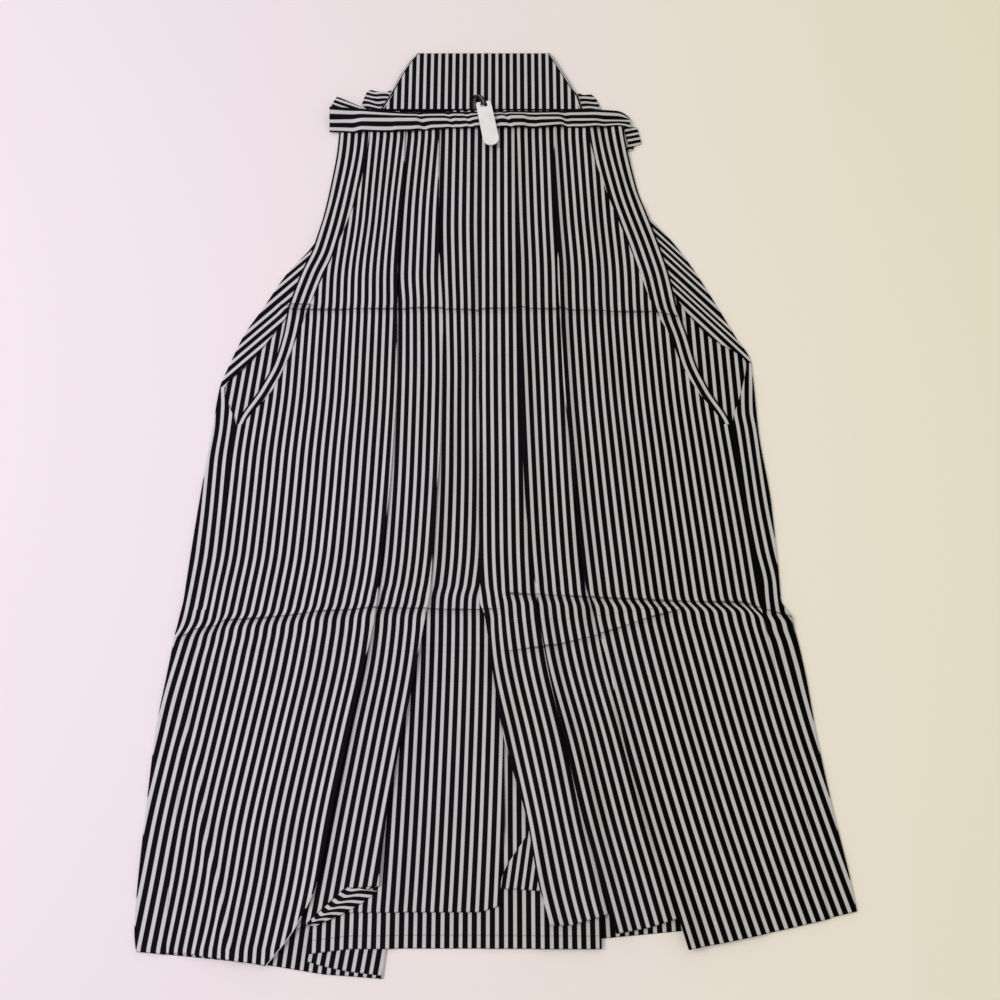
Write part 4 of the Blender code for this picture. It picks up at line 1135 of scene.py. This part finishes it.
def spatula_loop(material):
    """A flat tape carried along a path: a circle about the spatula's bar, then its tail to the seam.

    The path is a smooth curve through the circle's points and the tail's; the tape's faces lie half
    its thickness to each side, thinner towards its two edges.
    """
    angles = np.radians(np.linspace(*LOOP_ANGLES, 13))
    ring = LOOP_RADIUS * np.stack([np.cos(angles), np.sin(angles), 0 * angles], axis=-1)
    knots = np.concatenate([ring, np.array(TAIL_POINTS)])
    length = path_lengths(knots)
    at = np.linspace(0, length[-1], TAPE_ROWS)
    path = np.stack([smooth_curve(length, knots[:, i])(at) for i in range(3)], axis=-1)
    steps = np.gradient(path[:, :2], axis=0)
    size = np.linalg.norm(steps, axis=1)
    normal = np.stack([-steps[:, 1] / size, steps[:, 0] / size], axis=1)
    lean = math.radians(SPATULA_LEAN)
    tip = np.array([math.sin(lean), -math.cos(lean), 0.0])
    across = np.array([math.cos(lean), math.sin(lean), 0.0])
    up = np.array([0.0, 0.0, 1.0])
    place = np.linspace(-1, 1, TAPE_COLUMNS)
    thick = TAPE_THICKNESS * (0.35 + 0.65 * np.sqrt(1 - 0.95 * place**8))
    width = path[:, None, 2] + TAPE_WIDTH / 2 * place
    upper, lower = (
        np.array(SPATULA_BAR) - flat[..., :1] * tip + flat[..., 1:] * up + width[..., None] * across
        for flat in (path[:, None, :2] + side * thick[:, None] * normal[:, None, :] for side in (0.5, -0.5))
    )
    cells = cell_corners(np.broadcast_to(place, width.shape))
    new_piece("spatula_tape", *closed_sheet(lower, upper, cells), material,
              replaces=("spatula_loop",), slot="dark_tape")


# Materials
class Finish:
    """A new material, with short ways to add nodes to it."""

    def __init__(self, name):
        self.material = bpy.data.materials.new(name)
        self.material.use_nodes = True
        self.tree = self.material.node_tree

    def give(self, socket, value):
        """Links a socket to another one, or sets it to a value."""
        if isinstance(value, bpy.types.NodeSocket):
            self.tree.links.new(value, socket)
        else:
            socket.default_value = value

    def node(self, kind, inputs=(), **settings):
        """A node with its settings and inputs."""
        node = self.tree.nodes.new("ShaderNode" + kind)
        for key, value in settings.items():
            setattr(node, key, value)
        for key, value in dict(inputs).items():
            self.give(node.inputs[key], value)
        return node

    def maths(self, operation, *values):
        """A sum or another operation on one or two numbers."""
        return self.node("Math", enumerate(values), operation=operation).outputs[0]

    def blend(self, share, first, second, kind="MIX"):
        """A colour between two, by share."""
        node = self.node("Mix", {"Factor": share}, data_type="RGBA", blend_type=kind)
        sockets = {socket.identifier: socket for socket in (*node.inputs, *node.outputs)}
        self.give(sockets["A_Color"], first)
        self.give(sockets["B_Color"], second)
        return sockets["Result_Color"]

    def ranged(self, value, low, high, first=0.0, second=1.0, step="SMOOTHSTEP"):
        """First to second as the value goes from low to high."""
        ends = {"Value": value, "From Min": low, "From Max": high, "To Min": first, "To Max": second}
        return self.node("MapRange", ends, interpolation_type=step).outputs[0]

    def noise(self, scale, detail=2.0):
        """Noise over the piece, in spots of about a metre over the scale."""
        place = self.node("TexCoord").outputs["Object"]
        return self.node("TexNoise", {"Vector": place, "Scale": scale, "Detail": detail}).outputs["Fac"]

    def across(self):
        """x of the place on the piece, in metres."""
        place = self.node("TexCoord").outputs["Object"]
        return self.node("SeparateXYZ", {0: place}).outputs[0]

    def weave(self):
        """The piece's weave coordinates: the count of stripes, and the millimetres along."""
        weave = self.node("UVMap", uv_map="weave").outputs[0]
        return self.node("SeparateXYZ", {0: weave}).outputs[:2]

    def from_mark(self, name):
        """A distance kept on the piece, in millimetres. It is far off where the piece has none."""
        value = self.node("Attribute", attribute_name=name).outputs["Fac"]
        return self.maths("SUBTRACT", value, MARK)

    def relief(self, height, strength, distance):
        """The surface's direction where a fine relief turns it."""
        bump = {"Height": height, "Strength": strength, "Distance": distance}
        return self.node("Bump", bump).outputs[0]

    def done(self, surface):
        """The material, with the shader's own sockets linked or set."""
        shader = self.tree.nodes["Principled BSDF"]
        for key, value in surface.items():
            self.give(shader.inputs[key], value)
        return self.material


def crease_shade(finish):
    """A storage crease: painted shade, a thin dark line that noise narrows in places, with a soft painted
    shade below it.
    """
    distance = finish.from_mark("crease")
    width = finish.maths("MULTIPLY", finish.ranged(finish.noise(22.0), 0.35, 0.65), CREASE_LINE_WIDTH)
    past = finish.maths("SUBTRACT", finish.maths("ABSOLUTE", distance), width)
    line = finish.ranged(past, 0.0, 1.0, CREASE_LINE_SHADE, 1.0)
    start, end, darkest = CREASE_SHADE
    missing = finish.maths("SUBTRACT", 1.0, finish.ranged(distance, start, end, 1.0, darkest))
    missing = finish.maths("MULTIPLY", finish.maths("LESS_THAN", distance, 0.0), missing)
    return finish.maths("MULTIPLY", line, finish.maths("SUBTRACT", 1.0, missing))


def hem_shadow_and_stitches(finish):
    """A hem: painted shadow along its folded edge, and the dark line of its stitches."""
    distance = finish.from_mark("hem")
    # Painted shadow along the folded hem's edge
    edge = finish.ranged(finish.maths("ABSOLUTE", distance), *HEM_SHADOW, 1.0)
    height, *line = HEM_STITCHES
    from_stitches = finish.maths("ABSOLUTE", finish.maths("SUBTRACT", distance, height))
    return finish.maths("MULTIPLY", edge, finish.ranged(from_stitches, *line, 1.0))


def striped_cloth(cloth):
    """Ribbed cloth with light stripes on dark, which yellow, and darken by painted shade, towards the
    wearer's left.
    """
    finish = Finish("woven_stripes")
    stripe, along = finish.weave()
    phase = finish.maths("FRACT", finish.maths("ADD", stripe, 0.5))
    off_middle = finish.maths("ABSOLUTE", finish.maths("SUBTRACT", phase, 0.5))
    half_light = cloth.light_share / 2
    light = finish.ranged(off_middle, half_light - STRIPE_EDGE, half_light + STRIPE_EDGE, 1.0, 0.0)
    patches = finish.maths("MULTIPLY", finish.maths("SUBTRACT", finish.noise(7.0, 3.0), 0.5), 0.5)
    place = finish.maths("ADD", finish.across(), patches)
    # Painted light across the garment: both stripes darken towards the wearer's left, and the light ones
    # also yellow there
    dark_colour, light_colour = (
        finish.blend(finish.ranged(place, *drift), (*right, 1.0), (*left, 1.0))
        for drift, right, left in (
            (DARK_SHEEN_DRIFT, cloth.dark, cloth.dark_left),
            (LIGHT_TINT_AND_SHADE_DRIFT, cloth.light, cloth.light_left),
        )
    )
    shade = finish.ranged(finish.noise(40.0, 3.0), 0.3, 0.7, 0.97, 1.02)
    # Painted shade along the creases
    shade = finish.maths("MULTIPLY", shade, crease_shade(finish))
    # Painted shadow along the hems, with the line of the stitches
    shade = finish.maths("MULTIPLY", shade, hem_shadow_and_stitches(finish))
    shade = finish.node("CombineColor", {0: shade, 1: shade, 2: shade}).outputs[0]
    weft = finish.maths("SINE", finish.maths("MULTIPLY", along, 2 * math.pi / WEFT_PITCH))
    warp = finish.maths("SINE", finish.maths("MULTIPLY", stripe, 2 * math.pi * WARP_THREADS))
    threads = finish.maths("ADD", finish.maths("MULTIPLY", weft, 0.6), finish.maths("MULTIPLY", warp, 0.4))
    height = finish.maths("ADD", threads, finish.maths("MULTIPLY", finish.noise(60.0), 3.0))
    return finish.done({
        "Base Color": finish.blend(1.0, finish.blend(light, dark_colour, light_colour), shade, "MULTIPLY"),
        "Normal": finish.relief(height, 0.12, WOVEN_RELIEF),
        "Roughness": finish.ranged(light, 0.0, 1.0, 0.7, 0.8, "LINEAR"),
        "Specular IOR Level": 0.03,
    })


def dark_tape(cloth):
    """Ribbed tape: a pale line along the middle of a dark ground."""
    finish = Finish("woven_tape")
    place = finish.weave()[0]
    line = finish.ranged(finish.maths("ABSOLUTE", place), 0.20, 0.32, 1.0, 0.0)
    colour = finish.blend(line, (*cloth.dark, 1.0), TAPE_LINE)
    mottle = finish.maths("MULTIPLY", finish.noise(900.0, 3.0), 0.25)
    ribs = finish.maths("SINE", finish.maths("MULTIPLY", place, 40.0))
    return finish.done({
        "Base Color": finish.blend(mottle, colour, TAPE_LINT),
        "Normal": finish.relief(ribs, 0.4, WOVEN_RELIEF),
        "Roughness": 0.75,
        "Specular IOR Level": 0.2,
    })


def white_plastic(fittings):
    """Matt moulded plastic with faint handling marks."""
    finish = Finish("moulded_plastic")
    marks = finish.ranged(finish.noise(120.0, 5.0), 0.45, 0.75, step="LINEAR")
    worn = tuple(0.9 * part for part in fittings.plastic)
    return finish.done({
        "Base Color": finish.blend(marks, (*fittings.plastic, 1.0), (*worn, 1.0)),
        "Normal": finish.relief(finish.noise(1500.0), 0.2, 0.00005),
        "Roughness": finish.ranged(marks, 0.0, 1.0, 0.38, 0.55, "LINEAR"),
        "Specular IOR Level": 0.4,
    })


def floor_paper(stage):
    """Pale paper whose tint drifts from one side of the floor to the other."""
    finish = Finish("floor_paper")
    side = finish.ranged(finish.across(), *FLOOR_DRIFT)
    return finish.done({
        "Base Color": finish.blend(side, (*stage.floor_left, 1.0), (*stage.floor_right, 1.0)),
        "Roughness": 0.9,
        "Specular IOR Level": 0.1,
    })


def area_lamp(name, place, size, watts, colour):
    """A round lamp that shines on the middle of the floor."""
    light = bpy.data.lights.new(name, "AREA")
    light.shape = "DISK"
    light.size = size
    light.energy = watts
    light.color = colour
    lamp = bpy.data.objects.new(name, light)
    bpy.context.scene.collection.objects.link(lamp)
    lamp.location = place
    x, y, z = -np.array(place) / np.linalg.norm(place)
    lamp.rotation_euler = (math.acos(-z), 0.0, math.atan2(-x, y))


class HakamaCloth(bpy.types.PropertyGroup):
    """The striped cloth and how it lies"""

    pitch: bpy.props.FloatProperty(
        name="Stripe pitch", description="From one light stripe to the next", default=0.0088,
        min=0.002, unit="LENGTH", precision=4)
    light_share: bpy.props.FloatProperty(
        name="Light share", description="Width of a light stripe as a share of the pitch",
        default=0.402, min=0.05, max=0.95, subtype="FACTOR")
    wall: bpy.props.FloatProperty(
        name="Cloth thickness", description="Thickness of one layer of cloth", default=0.0008,
        min=0.0003, max=0.0012, unit="LENGTH", precision=4)
    fold_lift: bpy.props.FloatProperty(
        name="Fold lift", description="How far a pleat's fold stands off the cloth below it",
        default=0.0024, min=0.0, max=0.006, unit="LENGTH", precision=4)
    # The stripes on the wearer's right, the dark ones lightened by painted sheen, and towards the left,
    # darker by painted shade
    dark: bpy.props.FloatVectorProperty(
        name="Dark stripe", description="Colour of the dark stripes", default=(0.0046, 0.0036, 0.0060),
        min=0.0, max=1.0, size=3, subtype="COLOR")
    dark_left: bpy.props.FloatVectorProperty(
        name="Dark stripe, left", description="The same towards the wearer's left",
        default=(0.0012, 0.0010, 0.0009), min=0.0, max=1.0, size=3, subtype="COLOR")
    light: bpy.props.FloatVectorProperty(
        name="Light stripe", description="Colour of the light stripes", default=(0.59, 0.567, 0.592),
        min=0.0, max=1.0, size=3, subtype="COLOR")
    # Darker by painted shade, and a little yellowed
    light_left: bpy.props.FloatVectorProperty(
        name="Light stripe, left", description="The same towards the wearer's left, a little yellowed",
        default=(0.515, 0.505, 0.475), min=0.0, max=1.0, size=3, subtype="COLOR")


class HakamaFittings(bpy.types.PropertyGroup):
    """The spatula's plastic"""

    plastic: bpy.props.FloatVectorProperty(
        name="Plastic", description="Colour of the spatula", default=(0.80, 0.78, 0.77),
        min=0.0, max=1.0, size=3, subtype="COLOR")


class HakamaStage(bpy.types.PropertyGroup):
    """Floor, light and camera"""

    floor_left: bpy.props.FloatVectorProperty(
        name="Floor, left", description="Colour of the floor on the left", default=(0.85, 0.75, 0.805),
        min=0.0, max=1.0, size=3, subtype="COLOR")
    floor_right: bpy.props.FloatVectorProperty(
        name="Floor, right", description="Colour of the floor on the right", default=(0.89, 0.83, 0.62),
        min=0.0, max=1.0, size=3, subtype="COLOR")
    ambient: bpy.props.FloatProperty(
        name="Ambient", description="Strength of the light from all round", default=0.62, min=0.0)
    key: bpy.props.FloatProperty(
        name="Key light", description="Power of the large lamp overhead", default=34.0, min=0.0,
        subtype="POWER")
    camera_height: bpy.props.FloatProperty(
        name="Camera height", description="Height of the camera above the floor", default=1.06,
        min=0.3, unit="LENGTH")
    camera_back: bpy.props.FloatProperty(
        name="Camera back", description="How far the camera stands towards the hem", default=0.3675,
        unit="LENGTH")
    camera_tilt: bpy.props.FloatProperty(
        name="Camera tilt", description="Tilt of the camera from straight down",
        default=math.radians(16.5), subtype="ANGLE")


class HakamaOperator:
    """What every step shares."""

    bl_options = {"REGISTER", "UNDO"}

    @staticmethod
    def material(name, make, settings):
        """The material of that name, made the first time it is asked for."""
        return bpy.data.materials.get(name) or make(settings)

    def lay(self, context, *pieces):
        """Makes pieces of the striped cloth."""
        cloth = context.scene.hakama_cloth
        material = self.material("woven_stripes", striped_cloth, cloth)
        for piece in pieces:
            piece(cloth, material)
        return {"FINISHED"}


class HAKAMA_OT_back_legs(HakamaOperator, bpy.types.Operator):
    """Lay the back of both legs, with their strips turned to the front"""

    bl_idname = "hakama.back_legs"
    bl_label = "Back legs"

    def execute(self, context):
        return self.lay(context, back_legs)


class HAKAMA_OT_front_legs(HakamaOperator, bpy.types.Operator):
    """Lay the pleated front of both legs and the turned-up corner of the right one"""

    bl_idname = "hakama.front_legs"
    bl_label = "Front legs"

    def execute(self, context):
        return self.lay(context, front_leg_right, front_leg_left, turned_corner)


class HAKAMA_OT_belt(HakamaOperator, bpy.types.Operator):
    """Lay the front belt over the top of the panels"""

    bl_idname = "hakama.belt"
    bl_label = "Front belt"

    def execute(self, context):
        return self.lay(context, front_belt)


class HAKAMA_OT_board(HakamaOperator, bpy.types.Operator):
    """Cover the back board"""

    bl_idname = "hakama.board"
    bl_label = "Back board"

    def execute(self, context):
        return self.lay(context, back_board)


class HAKAMA_OT_ties(HakamaOperator, bpy.types.Operator):
    """Fold the ends of the four ties"""

    bl_idname = "hakama.ties"
    bl_label = "Ties"

    def execute(self, context):
        return self.lay(context, folded_ties)


class HAKAMA_OT_spatula(HakamaOperator, bpy.types.Operator):
    """Finish the spatula and hang it in its tape"""

    bl_idname = "hakama.spatula"
    bl_label = "Spatula and tape"

    def execute(self, context):
        spatula_loop(self.material("woven_tape", dark_tape, context.scene.hakama_cloth))
        plastic = self.material("moulded_plastic", white_plastic, context.scene.hakama_fittings)
        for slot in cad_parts["spatula"].material_slots:
            slot.material = plastic
        return {"FINISHED"}


class HAKAMA_OT_stage(HakamaOperator, bpy.types.Operator):
    """Set out the floor, the lights and the camera"""

    bl_idname = "hakama.stage"
    bl_label = "Floor, lights and camera"

    def execute(self, context):
        scene = context.scene
        stage = scene.hakama_stage
        floor = bpy.data.meshes.new("floor")
        corners = ((-1, -1), (1, -1), (1, 1), (-1, 1))
        floor.from_pydata([(FLOOR_HALF * x, FLOOR_HALF * y, FLOOR_LOW) for x, y in corners],
                          [], [(0, 1, 2, 3)])
        floor.materials.append(self.material("floor_paper", floor_paper, stage))
        floor_object = bpy.data.objects.new("floor", floor)
        scene.collection.objects.link(floor_object)
        scene.world = bpy.data.worlds.get("World") or bpy.data.worlds.new("World")
        scene.world.use_nodes = True
        sky = scene.world.node_tree.nodes["Background"]
        sky.inputs["Color"].default_value = (*LAMP_COLOUR, 1.0)
        sky.inputs["Strength"].default_value = stage.ambient
        area_lamp("key", LAMP_PLACE, LAMP_SIZE, stage.key, LAMP_COLOUR)
        camera = bpy.data.cameras.new("camera")
        camera.lens = LENS
        camera.sensor_width = LENS
        camera_object = bpy.data.objects.new("camera", camera)
        scene.collection.objects.link(camera_object)
        camera_object.location = (-MIDDLE_X * MM, -stage.camera_back, stage.camera_height)
        camera_object.rotation_euler = (stage.camera_tilt, 0, 0)
        scene.camera = camera_object
        scene.view_settings.view_transform = "Standard"
        return {"FINISHED"}


STEPS = (
    HAKAMA_OT_back_legs,
    HAKAMA_OT_front_legs,
    HAKAMA_OT_belt,
    HAKAMA_OT_board,
    HAKAMA_OT_ties,
    HAKAMA_OT_spatula,
    HAKAMA_OT_stage,
)
SETTINGS = {
    "hakama_cloth": HakamaCloth,
    "hakama_fittings": HakamaFittings,
    "hakama_stage": HakamaStage,
}


class HAKAMA_PT_panel(bpy.types.Panel):
    """The steps and their settings, in the sidebar"""

    bl_idname = "HAKAMA_PT_panel"
    bl_label = "Hakama trousers"
    bl_space_type = "VIEW_3D"
    bl_region_type = "UI"
    bl_category = "Hakama"

    def draw(self, context):
        column = self.layout.column()
        for name, group in SETTINGS.items():
            for setting in group.__annotations__:
                column.prop(getattr(context.scene, name), setting)
        for step in STEPS:
            column.operator(step.bl_idname)


CLASSES = (*SETTINGS.values(), *STEPS, HAKAMA_PT_panel)


def register():
    for cls in CLASSES:
        bpy.utils.register_class(cls)
    for name, group in SETTINGS.items():
        setattr(bpy.types.Scene, name, bpy.props.PointerProperty(type=group))


def unregister():
    for name in SETTINGS:
        delattr(bpy.types.Scene, name)
    for cls in reversed(CLASSES):
        bpy.utils.unregister_class(cls)


def main():
    register()
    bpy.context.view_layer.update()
    bpy.ops.hakama.stage()
    bpy.ops.hakama.back_legs()
    bpy.ops.hakama.front_legs()
    bpy.ops.hakama.belt()
    bpy.ops.hakama.board()
    bpy.ops.hakama.ties()
    bpy.ops.hakama.spatula()


if __name__ == "__main__":
    main()
